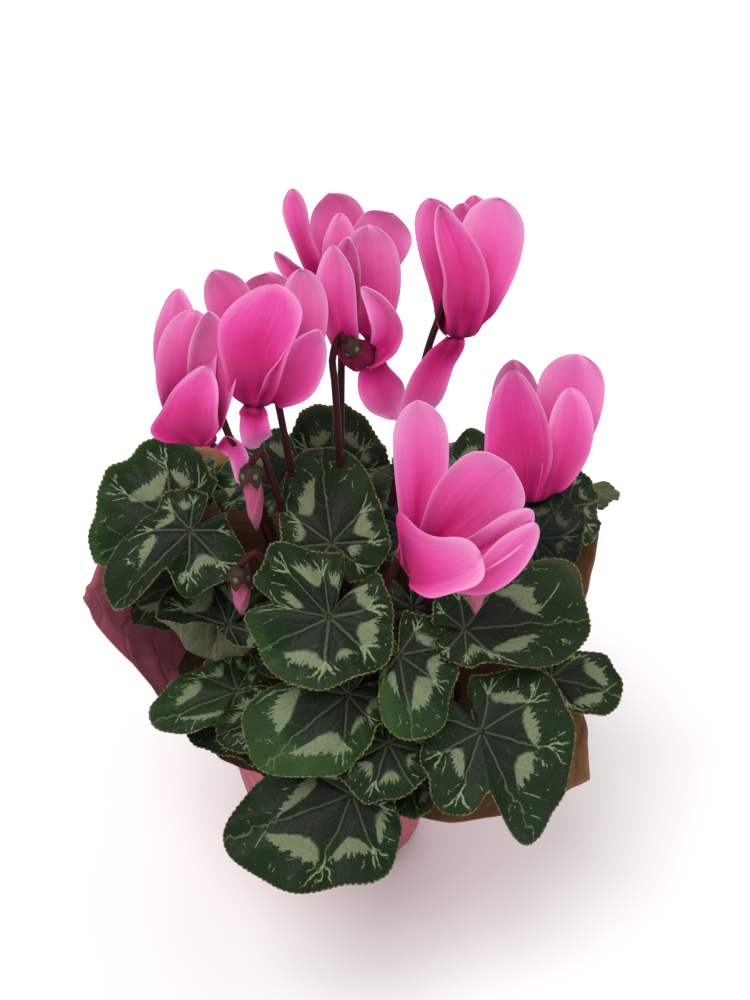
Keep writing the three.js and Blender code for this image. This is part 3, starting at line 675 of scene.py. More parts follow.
def leaf_silver(g, v):
    """Silver patches: a smooth edge toward the stalk, a ragged one toward the margin."""
    inner, outer = g.parts("silver")[:2]
    comb = g.noise(g.vector(v.w * 15.0, v.r * 0.12, v.seed), 1.0, 3.0, 0.65)
    soft = g.step(inner + v.wiggle * 3.0, -1.0, 1.4)
    torn = outer + (comb - 0.52) * RAGGED_MM + (g.noise(v.flat, 1.0, 2.0, 0.7) - 0.5) * 3.5
    freckle = g.step(g.noise(v.flat, 1.7, 2.0, 0.8), 0.62, 0.68) * g.step(torn, -4.5, -1.0)
    return g.top(soft * g.step(torn, -0.2, 0.5), freckle * soft * 0.8)


def paint_veins(g, v, colour, side_vein):
    """Veins: thin and grey-green near the stalk, white where they fork near the margin."""
    main = g.step(v.away - g.step(v.f, 0.0, 1.0, 0.42, 0.20), 0.30, 0.0)
    keep = g.top(g.step(v.f, 0.80, 0.66), v.middle)
    grey = g.mix(v.f, "#46523d", "#5e7049")
    colour = g.mix(main * keep * 0.68, colour, grey)
    colour = g.mix(side_vein * g.step(v.f, 0.66, 0.5) * 0.28, colour, grey)
    aside = 1.0 - v.middle
    arms = g.step(v.arm, 0.62, 0.22) * g.step(v.past, -0.02, 0.02) * g.step(v.past, 0.26, 0.17)
    ring = g.step(v.f, 0.60, 0.68) * g.step(v.f + v.wander * 0.2, 0.93, 0.86)
    twigs = side_vein * g.step(g.noise(v.flat, 0.15, 2.0), 0.46, 0.56) * ring
    ends = g.top(g.top(arms * aside, twigs), main * ring * aside)
    colour = g.mix(ends * g.step(g.noise(v.flat, 0.9, 2.0), 0.34, 0.46) * 0.85, colour, SILVERY)
    specks = g.step(g.cells(v.flat, 0.26), 0.12, 0.06) * g.step(v.f, 0.70, 0.80)
    return g.mix(specks * g.step(v.f, 0.96, 0.93) * 0.7, colour, SILVERY)


def leaf_top():
    g = Graph("leaf_upper_side")
    v = leaf_veins(g)
    edge = g.parts("silver")[2]
    olive, shade, pale, _ = g.parts("tone")
    cloud = g.noise(v.flat, 0.055, 3.0)
    grain = g.noise(v.flat, 1.1, 3.0, 0.7)
    mesh = g.cells(v.flat, 0.42, "DISTANCE_TO_EDGE")

    zone = g.step(v.f + v.wander * 0.25, 0.42, 0.70)
    green = g.mix(zone, g.mix(cloud, "#101611", "#1e271c"), g.mix(cloud, "#0c190b", "#1d3116"))
    green = g.mix(g.step(grain, 0.45, 0.75) * 0.30, green, "#2a3a22")
    green = g.mix(g.step(mesh, 0.08, 0.0) * 0.20, green, "#33422c")
    silver = leaf_silver(g, v)
    frost = g.mix(g.noise(v.flat, 0.8, 4.0, 0.7), "#566549", "#909b74")
    side_vein = g.step(v.branch, 0.36, 0.08) * g.step(v.f, 0.24, 0.36)
    colour = paint_veins(g, v, g.mix(silver * 0.90, green, frost), side_vein)

    # tinted margins, a bead of olive and brown along the edge, and shade
    colour = g.mix(olive, colour, g.mix(cloud, "#4f5530", "#6c6b44"))
    colour = g.mix(pale * g.step(silver, 1.0, 0.0, 0.3, 1.0), colour, "#3f6426")
    bead = g.step((grain - 0.5) * 1.2 - (edge - v.f * edge), -0.8, -0.3)
    colour = g.mix(bead * 0.85, colour, g.mix(g.step(grain, 0.4, 0.6), "#3f3a1c", "#8e8a50"))
    colour = g.mix(shade, colour, "#070d09")

    relief = g.step(v.away * 0.5, 1.0, 0.0) * -0.7 - side_vein * 0.5 + g.step(mesh, 0.0, 0.35) * 0.22
    normal = g.bump(grain, 0.22, 0.0003, g.bump(relief, 0.6, 0.0006))
    return g.finish(colour, g.step(grain, 0.2, 0.8, 0.40, 0.56), normal, Specular_IOR_Level=0.13)


def leaf_under():
    g = Graph("leaf_under_side")
    v = leaf_veins(g)
    shade = g.parts("tone")[1]
    cloud = g.noise(v.flat, 0.07, 3.0)
    mesh = g.cells(v.flat, 0.42, "DISTANCE_TO_EDGE")
    base = g.mix(cloud, "#353c26", "#4a4c30")
    base = g.mix(g.step(cloud, 0.55, 0.75) * 0.35, base, "#5f4438")
    base = g.mix(g.step(mesh, 0.14, 0.0) * 0.25, base, "#6a6a48")
    main = g.step(v.away, 1.1, 0.4)
    side_vein = g.step(v.branch, 0.7, 0.2) * g.step(v.f, 0.2, 0.4)
    colour = g.mix(g.top(main, side_vein * 0.6) * 0.5, base, "#77744f")
    normal = g.bump(main * 0.8 + side_vein * 0.4, 0.6, 0.0007)
    return g.finish(g.mix(shade, colour, "#0b0f0a"), 0.6, normal, Specular_IOR_Level=0.25)


def stalk_material(name, dark, light):
    g = Graph(name)
    along, round_, seed, _ = g.parts("stalk")
    streak = g.noise(g.vector(along * 1.5, round_ * 2.6, seed), 1.0, 4.0, 0.7)
    speck = g.noise(g.place(), 900.0, 3.0, 0.7)
    colour = g.mix(g.step(along + (streak - 0.5) * 0.5, 0.15, 1.0), dark, light)
    colour = g.mix(g.step(speck, 0.5, 0.8) * 0.3, colour, "#6b3c36")
    normal = g.bump(streak + speck * 0.5, 0.3, 0.0004)
    return g.finish(colour, 0.46, normal, Specular_IOR_Level=0.12)


# ---------------------------------------------------------------- flower materials
def petal_material():
    """Near-black magenta at the root, pink beyond, a pale rim; heat_and_shade picks the deeper ramp,
    partly painted shade.
    """
    g = Graph("petal")
    u, v, seed, _ = g.parts("petal")
    edge, _, heat_and_shade, _ = g.parts("spread")
    side = abs(v)
    streak = g.noise(g.vector(v * 7.0, u * 1.3, seed), 1.4, 4.0, 0.65, 0.25)
    fine = g.noise(g.vector(v * 30.0, u * 2.0, seed), 1.0, 3.0, 0.7)
    cloud = g.noise(g.place(), 45.0, 3.0)
    reach = u * 0.84 + side * side * 0.30 + (streak - 0.5) * 0.16
    cool = g.ramp(reach, (0.0, "#300015"), (0.11, "#740336"), (0.23, "#c01072"), (0.40, "#de3f9c"),
                  (0.68, "#e56fb5"), (1.0, "#eea4d2"))
    # the deeper ramp: partly the pink's own colour, partly painted shade in the hollows of
    # forward-facing petals
    hot_and_shaded = g.ramp(reach, (0.0, "#2c0011"), (0.13, "#66022f"), (0.30, "#a8045a"), (0.50, "#c40b72"),
                 (0.78, "#dc3f9c"), (1.0, "#e888c2"))
    colour = g.mix(heat_and_shade, cool, hot_and_shaded)
    body = g.step(u, 0.12, 0.40)
    colour = g.mix(g.step(streak, 0.50, 0.85) * 0.14 * body, colour, "#ec92c6")
    colour = g.mix(g.step(fine, 0.50, 0.75) * 0.12, colour, "#c0187c")
    colour = g.mix(cloud * body * 0.14, colour, "#ec8cc4")
    colour = g.mix(g.step(side, 0.55, 0.0) * g.step(u, 0.95, 0.1, 0.0, 0.50), colour, "#d0086e")
    rim = g.step(edge, 2.2, 0.1) * g.step(u, 0.10, 0.40)
    colour = g.mix(rim * 0.24, colour, "#eeb0d8")
    normal = g.bump(fine * 0.5 + streak * 0.5, 0.25, 0.0004)
    return g.finish(colour, g.step(fine, 0.2, 0.8, 0.46, 0.60), normal, Specular_IOR_Level=0.14,
                    Subsurface_Weight=0.12, Subsurface_Radius=(0.005, 0.001, 0.003),
                    Subsurface_Scale=0.5, Sheen_Weight=0.03, Sheen_Roughness=0.5)


def calyx_material():
    """Brown sepals, each with a pale eye and a reddish edge."""
    g = Graph("calyx")
    along, round_, seed, _ = g.parts("stalk")
    streak = g.noise(g.vector(along * 2.0, round_ * 4.0, seed), 1.2, 4.0, 0.7)
    up, aside = (along - 0.45) * 1.6, round_ * 0.5
    eye = g.step(g.root(up * up + aside * aside), 0.26, 0.08)
    colour = g.mix(eye * 0.55, g.mix(streak, "#20120f", "#3e3022"), "#8f8a5c")
    colour = g.mix(g.step(abs(round_), 0.7, 1.0, 0.0, 0.6), colour, "#5c2a30")
    return g.finish(colour, 0.48, g.bump(streak, 0.4, 0.0004), Specular_IOR_Level=0.2)


def bud_material():
    g = Graph("bud_corolla")
    along, _, seed, _ = g.parts("stalk")
    streak = g.noise(g.vector(along * 2.5, seed * 7.0, 0.0), 1.5, 4.0, 0.7)
    colour = g.ramp(along + (streak - 0.5) * 0.2, (0.0, "#92304f"), (0.35, "#b84a72"),
                    (0.75, "#a85a76"), (1.0, "#8a4a58"))
    colour = g.mix(g.step(streak, 0.45, 0.7) * 0.35, colour, "#cf7f9f")
    return g.finish(colour, 0.5, g.bump(streak, 0.35, 0.0004), Specular_IOR_Level=0.3)


# ---------------------------------------------------------------- wrap, pot and soil materials
def paper_material(name, dark, mid, light, ribs, dusk):
    """Fibres, clouds and fine creases; ribs: depth of kraft's ribs; dusk: shade down inside."""
    g = Graph(name)
    across, height, seed, sheet = g.parts("sheet")
    below_rim = g.parts("depth")[0]
    fibre = g.noise(g.vector(across * 0.9, height * 0.18, seed), 1.0, 5.0, 0.75)
    crease = g.cells(g.vector(across * 0.8, height, seed), 0.050, "DISTANCE_TO_EDGE")
    colour = g.mix(g.noise(sheet, 0.035, 3.0), dark, mid)
    colour = g.mix(fibre * 0.45, colour, light)
    colour = g.mix(g.step(crease, 0.030, 0.0, 0.0, 0.14), colour, light)
    colour = g.mix(g.step(below_rim, 26.0, 58.0, 0.0, dusk), colour, "#1c120c")
    normal = g.bump(fibre * 0.6 + g.math("SINE", across * 5.2) * ribs, 0.35, 0.0003)
    normal = g.bump(g.step(crease, 0.0, 0.12), 0.42, 0.0008, normal)
    return g.finish(colour, 0.66, normal, Specular_IOR_Level=0.16, Sheen_Weight=0.03)


def pot_material():
    g = Graph("pot_plastic")
    dust = g.noise(g.place(), 30.0, 5.0, 0.65)
    scuff = g.noise(g.place(), 260.0, 4.0, 0.7)
    colour = g.mix(g.step(dust, 0.3, 0.75), "#6b3a28", "#85503a")
    colour = g.mix(g.step(scuff, 0.55, 0.75) * 0.35, colour, "#a07a64")
    normal = g.bump(scuff, 0.25, 0.0003)
    return g.finish(colour, g.step(dust, 0.2, 0.8, 0.42, 0.62), normal, Specular_IOR_Level=0.45)


def soil_material():
    g = Graph("peat_soil")
    place = g.place()
    clod = g.noise(place, 150.0, 5.0, 0.7)
    colour = g.mix(clod, "#1a120c", "#4a3423")
    colour = g.mix(g.step(g.noise(place, 700.0, 3.0, 0.7), 0.60, 0.72, 0.0, 0.7), colour, "#6b5238")
    colour = g.mix(g.step(g.cells(place, 210.0), 0.12, 0.08, 0.0, 0.9), colour, "#cfc9bd")
    normal = g.bump(g.cells(place, 420.0) + clod, 0.8, 0.0012)
    return g.finish(colour, 0.93, normal, Specular_IOR_Level=0.2)


def tuber_material():
    g = Graph("tuber_skin")
    place = g.place()
    bark = g.cells(place, 240.0, "DISTANCE_TO_EDGE")
    clod = g.noise(place, 90.0, 5.0, 0.7)
    colour = g.mix(clod, "#3d2a1e", "#7a5d44")
    colour = g.mix(g.step(bark, 0.10, 0.0, 0.0, 0.6), colour, "#241710")
    return g.finish(colour, 0.85, g.bump(bark * 1.2 + clod, 0.7, 0.0012), Specular_IOR_Level=0.25)


def floor_material():
    g = Graph("studio_floor")
    tone = g.noise(g.place(), 1.5, 2.0)
    pale, white = (0.90, 0.90, 0.90, 1.0), (0.93, 0.93, 0.93, 1.0)
    return g.finish(g.mix(tone, pale, white), 0.8, Specular_IOR_Level=0.1)


# ---------------------------------------------------------------- stalk feet on the tuber
FOOT_APART = 4.6              # least distance between two feet
FOOT_TRIES = 20               # rings tried, and places tried on each ring
FOOT_RANGE = (3, 29)          # distances from the axis where the tuber can carry a stalk
feet = []


def outward(k, step):
    """0, one step to one side, one to the other, two to the first side and so on."""
    return (-1 if k % 2 else 1) * math.ceil(k / 2) * step


def foot(toward, ideal):
    """The free place on the tuber's top that is nearest a stalk's ideal one."""
    base = math.atan2(toward[1], toward[0])
    for ring in range(FOOT_TRIES):
        r = ideal + outward(ring, 1.5)
        for step in range(FOOT_TRIES if FOOT_RANGE[0] < r < FOOT_RANGE[1] else 0):
            a = base - outward(step, math.radians(6))
            p = np.array([r * math.cos(a), r * math.sin(a), 0.0])
            if all(np.linalg.norm(p - q) > FOOT_APART for q in feet):
                feet.append(p)
                return p + UP * (TUBER_Z + TUBER_HALF * math.sqrt(1 - (r / TUBER_RADIUS) ** 2) - 1)
    raise RuntimeError("no room left on the tuber")


def along_bar(seed):
    """What the stalk shaders read on a plain round bar."""
    return lambda k, a: (k, math.cos(a), seed)


# ---------------------------------------------------------------- leaves
TOOTH_LENGTH = 2.7            # of the margin's blunt teeth
TOOTH_SIZE = 0.8
MARGIN_WAVE = 0.5
GROOVE = (0.8, 1.6)           # depth and half width of the groove over a main vein
PANEL_SWELL = (3.0, 9.0)      # how high the blade swells, and how far from a vein
RIPPLE = 1.6                  # height of the quick waves at the margin
SWAY = 2.8                    # height of the slow waves
PATCH_SHARE = 0.85            # of the places between veins that get a silver patch
BLADE_GRID = (330, 17)        # directions and distances at which a blade is worked out
HIDDEN_GRID = (190, 12)


class Leaf:
    def __init__(self, row):
        name, bearing, out, up, heads, dips, rolls, long, left, right, back, extras = row
        self.name = name
        self.at = spot((bearing, out, up))
        self.ahead = between(heading(heads), UP, -dips)
        level = between(UP, heading(heads), dips)
        self.face = between(level, np.cross(self.ahead, level), rolls)
        self.left_way = np.cross(self.face, self.ahead)
        self.long, self.left, self.right, self.back = long, left, right, back
        self.more = PLAIN_LEAF | extras | LOOKS.get(name, {})

    def reach(self, dirs):
        """Reach of the blade in a direction: a drawn-out tip, round sides, two lobes behind."""
        away = np.abs(dirs)
        ahead = np.where(away < 90, np.cos(np.radians(away)) ** 4, 0)
        side = np.where(dirs > 0, self.left, self.right)
        side = side + (self.back - side) * smoothstep(away, 95, 150)
        r = side + (self.long - side) * ahead
        for at, width, mm in self.more["swells"]:
            r = r + mm * bell((dirs - at) / width)
        return r * (1 - 0.8 * smoothstep(away, 160, 180))

    def uneven(self, dirs, rng):
        """The same reach with the slow unevenness of a grown outline."""
        a, b, c = rng.uniform(0, 6, 3)
        turn = np.radians(dirs)
        wave = 0.022 * np.sin(3 * turn + a) + 0.022 * np.sin(5 * turn + b)
        wave = wave + 0.016 * np.sin(9 * turn + c)
        for vein in VEINS[1:-1]:
            wave = wave + rng.uniform(-0.01, 0.07) * bell((dirs - vein) / 12) - 0.004
        return self.reach(dirs) * (1 + wave * smoothstep(180 - np.abs(dirs), 0, 30))


def margin_teeth(r, turn, rng):
    """Small blunt teeth and a slow wave along the margin."""
    arc = np.concatenate([[0], np.cumsum(np.hypot(np.diff(r), r[1:] * np.diff(turn)))])
    size = 1 + 0.3 * np.sin(arc / 9.0 + rng.uniform(0, 6)) * np.sin(arc / 23.0)
    saw = (arc / TOOTH_LENGTH + rng.uniform(0, 1)) % 1.0
    tooth = np.minimum(saw / 0.45, (1 - saw) / 0.55) - 0.5
    return tooth * TOOTH_SIZE * size + MARGIN_WAVE * np.sin(arc / 6.5 + rng.uniform(0, 6))


def blade_height(leaf, dirs, f, r, rng):
    """Height of the blade: cup and lifts, vein grooves, swollen panels, a rippled margin."""
    z = -leaf.more["cup"] * f ** 2 + 0 * r
    for at, width, rise in leaf.more["lifts"]:
        z = z + rise * f ** 2 * bell((dirs[:, None] - at) / width)
    nearest = np.min(np.abs(dirs[:, None] - np.array(VEINS)[None, :]), axis=1)
    away = np.radians(nearest)[:, None] * r
    z = z - GROOVE[0] * bell(away / GROOVE[1]) * smoothstep(f, 0.0, 0.2) * (1 - 0.6 * f)
    z = z + PANEL_SWELL[0] * smoothstep(away, 0.5, PANEL_SWELL[1]) * f * (1 - 0.25 * f)
    turn = np.radians(dirs)
    a, b, c = rng.uniform(0, 6, 3)
    ripple = np.sin(turn * 6 + a) + 0.8 * np.sin(turn * 10 + b) + 0.4 * np.sin(turn * 17 + c)
    sway = np.sin(turn * 2 + a + c) + 0.8 * np.sin(turn * 3 + b + c)
    return z + RIPPLE * ripple[:, None] * f ** 3 + SWAY * sway[:, None] * f ** 2


def curl(leaf, dirs, r, z, edge):
    """Bends the margin up, or down where the angle is negative, beyond a share of the reach."""
    for at, width, start, angle, *share in leaf.more["curls"]:
        bend = math.radians(angle) * bell((dirs - at) / width)[:, None]
        bend = np.where(np.abs(bend) > 1e-4, bend, 1e-4)
        first = start * edge
        arc = np.maximum(edge - first, 1.0) * (share[0] if share else 1)
        over = np.maximum(r - first, 0)
        bent = np.minimum(over, arc)
        rise = (1 - np.cos(bend * bent / arc)) * arc / bend + np.sin(bend) * (over - bent)
        run = np.sin(bend * bent / arc) * arc / bend + np.cos(bend) * (over - bent)
        z = z + rise
        r = np.where(over > 0, first + run, r)
    return r, z


def grown_patches(rng):
    """Silver patches between the main veins, for a leaf that has none of its own."""
    patches = []
    for low, high in zip(VEINS[1:-2], VEINS[2:-1]):
        start = rng.uniform(0.44, 0.54)
        spread = rng.uniform(0.30, 0.46)
        if rng.uniform() < PATCH_SHARE:
            patches.append(((low + high) / 2 + rng.uniform(-5, 5), (high - low) * spread,
                            start, start + rng.uniform(0.14, 0.24)))
    return patches


def silver_patches(leaf, dirs, f, edge, rng):
    """Distances, in mm, inside the inner and the outer edge of the nearest silver patch."""
    own = leaf.more["silver"]
    within = np.full((len(dirs), f.shape[1]), -10.0)
    beyond = within.copy()
    for at, half, start, end in grown_patches(rng) if own is None else own:
        t = np.abs(dirs - at)[:, None] / half
        inner = start + (end - start) * 0.9 * np.minimum(t, 1) ** 2.5
        a = (f - inner) * edge - 12 * np.maximum(t - 1, 0)
        b = (end - f) * edge
        better = np.minimum(a, b) > np.minimum(within, beyond)
        within = np.where(better, a, within)
        beyond = np.where(better, b, beyond)
    return within, beyond


def banded(leaf, key, dirs, f):
    """Strength of a margin tint: each band is (direction, half width, start, amount)."""
    tint = np.zeros((len(dirs), f.shape[1]))
    for at, width, start, amount in leaf.more[key]:
        band = bell((dirs[:, None] - at) / width) ** 0.5
        tint = np.maximum(tint, amount * band * smoothstep(f, start, start + 0.06))
    return tint


def blade_data(leaf, dirs, f, edge, turn, rng, seed):
    """What the leaf shaders read: place on the flat blade, main vein, silver patch, tints and the
    painted shade of leaves among others.
    """
    shape = (len(dirs), f.shape[1])
    index = np.interp(dirs, VEINS, np.arange(len(VEINS)) - len(VEINS) // 2)
    pitch = np.radians(np.interp(np.abs(dirs), [0, 48, 92, 136], [48, 46, 44, 44]))
    within, beyond = silver_patches(leaf, dirs, f, edge, rng)
    bright = np.maximum(banded(leaf, "bright", dirs, f), leaf.more["fresh"])
    olive, shade = banded(leaf, "olive", dirs, f), leaf.more["shade"]
    return {"flat": stacked(shape, f * edge * np.cos(turn), f * edge * np.sin(turn), seed * 37.0),
            "vein": stacked(shape, index[:, None], pitch[:, None], f),
            "silver": stacked(shape, within, beyond, edge),
            "tone": stacked(shape, olive, shade, bright)}


def add_blade(form, leaf, rng, seed):
    count, rings = HIDDEN_GRID if leaf.name in HIDDEN_LEAVES else BLADE_GRID
    dirs = np.linspace(-178.5, 178.5, count)
    f = 1 - np.linspace(0.97, 0, rings)[None, :] ** 1.25
    edge = leaf.uneven(dirs, rng)[:, None]
    turn = np.radians(dirs * (1 + np.sign(dirs) * leaf.more["skew"] / 180))[:, None]
    teeth = margin_teeth(edge[:, 0], turn[:, 0], rng)[:, None]
    z = blade_height(leaf, dirs, f, f * edge, rng)
    r, z = curl(leaf, dirs, f * edge + teeth * smoothstep(f, 0.88, 1.0), z, edge)
    p = (leaf.at + (r * np.cos(turn))[..., None] * leaf.ahead
         + (r * np.sin(turn))[..., None] * leaf.left_way + z[..., None] * leaf.face)
    if leaf.name in LEANING_LEAVES:
        p = inside_wrap(p)
    data = blade_data(leaf, dirs, f, edge, turn, rng, seed)
    data = {key: values[::-1] for key, values in data.items()}
    add_sheet(form, p[::-1], BLADE_THICK, (0, 1, 0), data)


def add_petiole(form, leaf, start, seed):
    """From its foot up and outward, and into the blade from behind."""
    end = leaf.at - 0.3 * leaf.face
    span = end - start
    length = np.linalg.norm(span)
    first = start + unit(start * (1, 1, 0)) * 0.08 * length + UP * 0.3 * length
    second = end - 0.28 * length * unit(0.6 * leaf.face + 0.4 * span / length)
    t = np.linspace(0, 1, 28)[:, None]
    line = ((1 - t) ** 3 * start + 3 * t * (1 - t) ** 2 * first
            + 3 * t * t * (1 - t) * second + t ** 3 * end)
    add_tube(form, line, PETIOLE_R - 0.3 * t[:, 0], 10, 2, along_bar(seed * 3.1))


def make_leaf(leaf, start, seed, materials):
    form = Form()
    add_blade(form, leaf, np.random.RandomState(seed), seed)
    add_petiole(form, leaf, start, seed)
    form.piece(leaf.name.replace("leaf_", "foliage_"), materials, leaf.name)


# ---------------------------------------------------------------- flowers
PETAL_ROOT = 5                # half width where a petal leaves the mouth
PETAL_BELLY = 5               # how far its middle stands forward or back of the flower's axis
PETAL_GRID = (44, 27)         # points along a petal and across it
MOUTH_SHARE = 42              # half angle of the mouth that a petal's root takes up
HUG_FLARE = (42, 34)          # how fast the mouth's rim would carry a petal out and up
PETAL_WAVE = 1.7              # height of the slow waves along a petal's sides
PETAL_FOLD = 0.22             # height of the fine folds along it
ROLL_IN = 0.45                # how much a rolled edge narrows it, as a share of the roll
FIVE = 5                      # petals, and sepals, of a flower as it grows
BACK = np.array([0, 1.0, 0])
RIGHT = np.array([1.0, 0, 0])


def petal_line(mouth, petal):
    """Shares of the length, points, directions and facing of a petal, mouth to tip."""
    root, long, lean, back, bow = petal[:5]
    ahead = between(between(UP, BACK, back), RIGHT, lean)
    facing = between(-BACK, UP, back)
    across = -np.cross(facing, ahead)
    start = mouth + heading(root) * (MOUTH_R - 1.5)
    tip = mouth + ahead * long
    control = (start + tip) / 2 + across * 2 * bow + heading(root) * (0, 2 * PETAL_BELLY, 0)
    u = (1 - (1 - np.linspace(0, 1, PETAL_GRID[0])) ** 1.5)[:, None]
    p = (1 - u) ** 2 * start + 2 * u * (1 - u) * control + u * u * tip
    return u, p, unit((1 - u) * (control - start) + u * (tip - control)), facing


def petal_width(u, half, widest, blunt):
    root = min(PETAL_ROOT, half)
    grow = root + (half - root) * np.sin(np.pi / 2 * np.minimum(u / widest, 1)) ** 1.3
    fall = np.maximum((u - widest) / (1.0 - widest), 0)
    end = np.sqrt(np.clip(1 - fall ** (2.0 + 2 * blunt), 0.0004, 1))
    return grow * end * (1 - 0.3 * (1 - blunt) * fall ** 3)


def petal_sides(look, u, v, wide):
    """Half widths of the two sides of a petal, with the bulges of its outline."""
    sides = wide * np.ones_like(v)
    for side, at, span, mm in look["bumps"]:
        sides = sides + mm * (v * side > 0) * (bell((u - at) / span) * np.minimum(wide / 4, 1))
    return sides


def petal_depth(look, u, v, wide, rng):
    """How far a petal's face stands out from its plane."""
    a, b, c = rng.uniform(0, 6, 4)[:3]
    right, left = smoothstep(v, -0.2, 0.8), smoothstep(-v, -0.2, 0.8)
    cup = look["cup"] * (1 - 0.45 * smoothstep(u, 0.3, 1.0))
    wave = np.sin(u * 6.5 + a) * right ** 2 + np.sin(u * 5.5 + b) * left ** 2
    depth = cup * wide * (0.55 * np.abs(v) ** 2 + 0.45 * v ** 4)
    depth = depth + PETAL_WAVE * wave * smoothstep(u, 0.15, 0.55)
    depth = depth - look["crease"] * bell(v / 0.10) * (1 - u)
    depth = depth + PETAL_FOLD * np.sin(v * 8 + c + 2 * u) * smoothstep(u, 0.0, 0.3)
    depth = depth + look["tip"] * smoothstep(u, 0.75, 1.0) ** 2
    return depth + look["lift"] * smoothstep(u, 0.0, 0.4)


def hug_mouth(grid, flower, petal, u, v, across, hold):
    """Wraps the root of a petal around the rim of the mouth, so that the five make a cup."""
    axis = -hanging(flower["opens"])
    radial = heading(petal[0])
    radial = unit(radial - axis * np.dot(radial, axis))
    around = np.cross(axis, radial)
    around = around * (1 if np.dot(around, across) > 0 else -1)
    angle = (np.radians(MOUTH_SHARE) * v)[..., None]
    way = radial * np.cos(angle) + around * np.sin(angle)
    middle = grid[:, grid.shape[1] // 2]
    rise = 1 if np.dot(middle[-1] - middle[0], axis) > 0 else -1
    out = (MOUTH_R - 0.2 + HUG_FLARE[0] * u)[..., None]
    up = (-1.6 + rise * HUG_FLARE[1] * u)[..., None]
    ring = spot(flower["mouth"]) + way * out + axis * up
    return ring + (grid - ring) * smoothstep(u, 0.02, hold)[..., None]


def add_petal(form, flower, petal, look, rng, seed):
    half, widest, turn = petal[5:]
    u, p, along, facing = petal_line(spot(flower["mouth"]), petal)
    v = np.sin(np.linspace(-1, 1, PETAL_GRID[1]) * np.pi / 2)[None, :]
    p = p[0] + (p - p[0]) * look["reach"]
    flat = unit(-np.cross(facing, along))
    angle = np.radians(turn + look["twist"] * (u - 0.45))
    across = flat * np.cos(angle) - np.cross(along, flat) * np.sin(angle)
    out = unit(np.cross(across, along))
    p = p + across * look["shift"] * smoothstep(u, 0.45, 1.0)

    wide = petal_width(u, half, widest, look["blunt"])
    sides = petal_sides(look, u, v, wide)
    depth = petal_depth(look, u, v, wide, rng)
    w = sides * v
    for side, start, mm in look["rolls"]:
        far = smoothstep(v * side, 0.55, 1.0) * smoothstep(u, start, start + 0.3)
        depth = depth + mm * far
        w = w - side * ROLL_IN * abs(mm) * far
    grid = p[:, None] + across[:, None] * w[..., None] + out[:, None] * depth[..., None]
    grid = hug_mouth(grid, flower, petal, u, v, across[0], look["hug"])
    edge = np.minimum(sides * (1 - np.abs(v)), (1 - u) * petal[1] * 0.6)
    # the spread's third number is how deep the pink is painted, partly painted shade
    data = {"petal": stacked(w.shape, u, v, seed),
            "spread": stacked(w.shape, edge, u, look["heat_and_shade"])}
    add_sheet(form, grid, PETAL_THICK, data=data)


def make_corolla(flower, seed, material):
    """The petals of a flower's rows, and the tube that they leave."""
    rng = np.random.RandomState(seed)
    form = Form()
    for k, (petal, look) in enumerate(zip(flower["petals"], PETAL_LOOKS[flower["name"]])):
        add_petal(form, flower, petal, PLAIN_PETAL | look, rng, seed * 7.3 + k * 1.7)
    profile = [(0, TUBE_LENGTH - 1.4), (2.4, TUBE_LENGTH - 1.8), (3.4, 5.5), (MOUTH_R - 1.6, 1.6),
               (MOUTH_R - 1.0, -0.6), (MOUTH_R - 0.2, -1.1), (MOUTH_R + 0.7, -0.5),
               (MOUTH_R + 0.8, 1.2), (MOUTH_R + 0.3, 3.2), (5.6, 6.0), (4.4, TUBE_LENGTH),
               (0, TUBE_LENGTH)]
    add_turned(form, profile, 40, axis=-hanging(flower["opens"]), at=spot(flower["mouth"]),
               lobes=1 + 0.06 * np.cos(FIVE * circle(40)), petal=(0.03, 0.5, seed), spread=(5, 0, 0))
    form.piece("bloom_" + flower["name"], [material], "corolla_" + flower["name"])


# ---------------------------------------------------------------- stems, calyces and buds
STEM_POINTS = 46


def crooked_stem(start, calyx, down, crook, top):
    """From the foot, up beside the calyx, and over in a crook onto it."""
    bearing, bend = crook
    side = heading(bearing)
    over = calyx + 2 * bend * side - UP * 1.5 * bend
    rise = start + (over - start) * (0.55, 0.55, 0.6)
    near = over + (rise - over) * 0.2 + UP * bend
    apex = calyx + side * bend + UP * (top + 0.8 * bend)
    return spline([start, rise, near, over, apex, calyx - down * top], STEM_POINTS)


def add_calyx(form, centre, down, seed, size):
    """Knob and cup of pointed sepals; `down` points from the stem to the petals."""
    knob = centre + np.outer([-4.6, -3.0, -0.8, 0.6], down) * size
    add_tube(form, knob, np.array([1.6, 3.2, 4.2, 4.0]) * size, 18, 1,
             lambda k, a: (k * 0.4, math.cos(a), seed))
    x = unit(np.cross(down, (0.2, 0.5, 0.9)))
    y = np.cross(down, x)
    u, v = np.linspace(0, 1, 11)[:, None], np.linspace(-1, 1, 9)[None, :]
    half = 0.68 * (1 - u ** 2.2) ** 0.8 + 0.03
    radius = np.interp(u, [0, 0.3, 0.65, 1], [2.0, 4.6, 5.3, 5.6]) * size
    drop = np.interp(u, [0, 0.3, 1], [-4.2, -1.8, 5.4]) * size
    for k in range(FIVE):
        a = 2 * math.pi * k / FIVE + seed + half * v
        r = radius * (1 + 0.07 * v ** 2)
        p = (centre + (r * np.cos(a))[..., None] * x + (r * np.sin(a))[..., None] * y
             + drop[..., None] * down)
        add_sheet(form, p, 0.5, (1, 1, 1), {"stalk": stacked(a.shape, u, v, seed + k)})


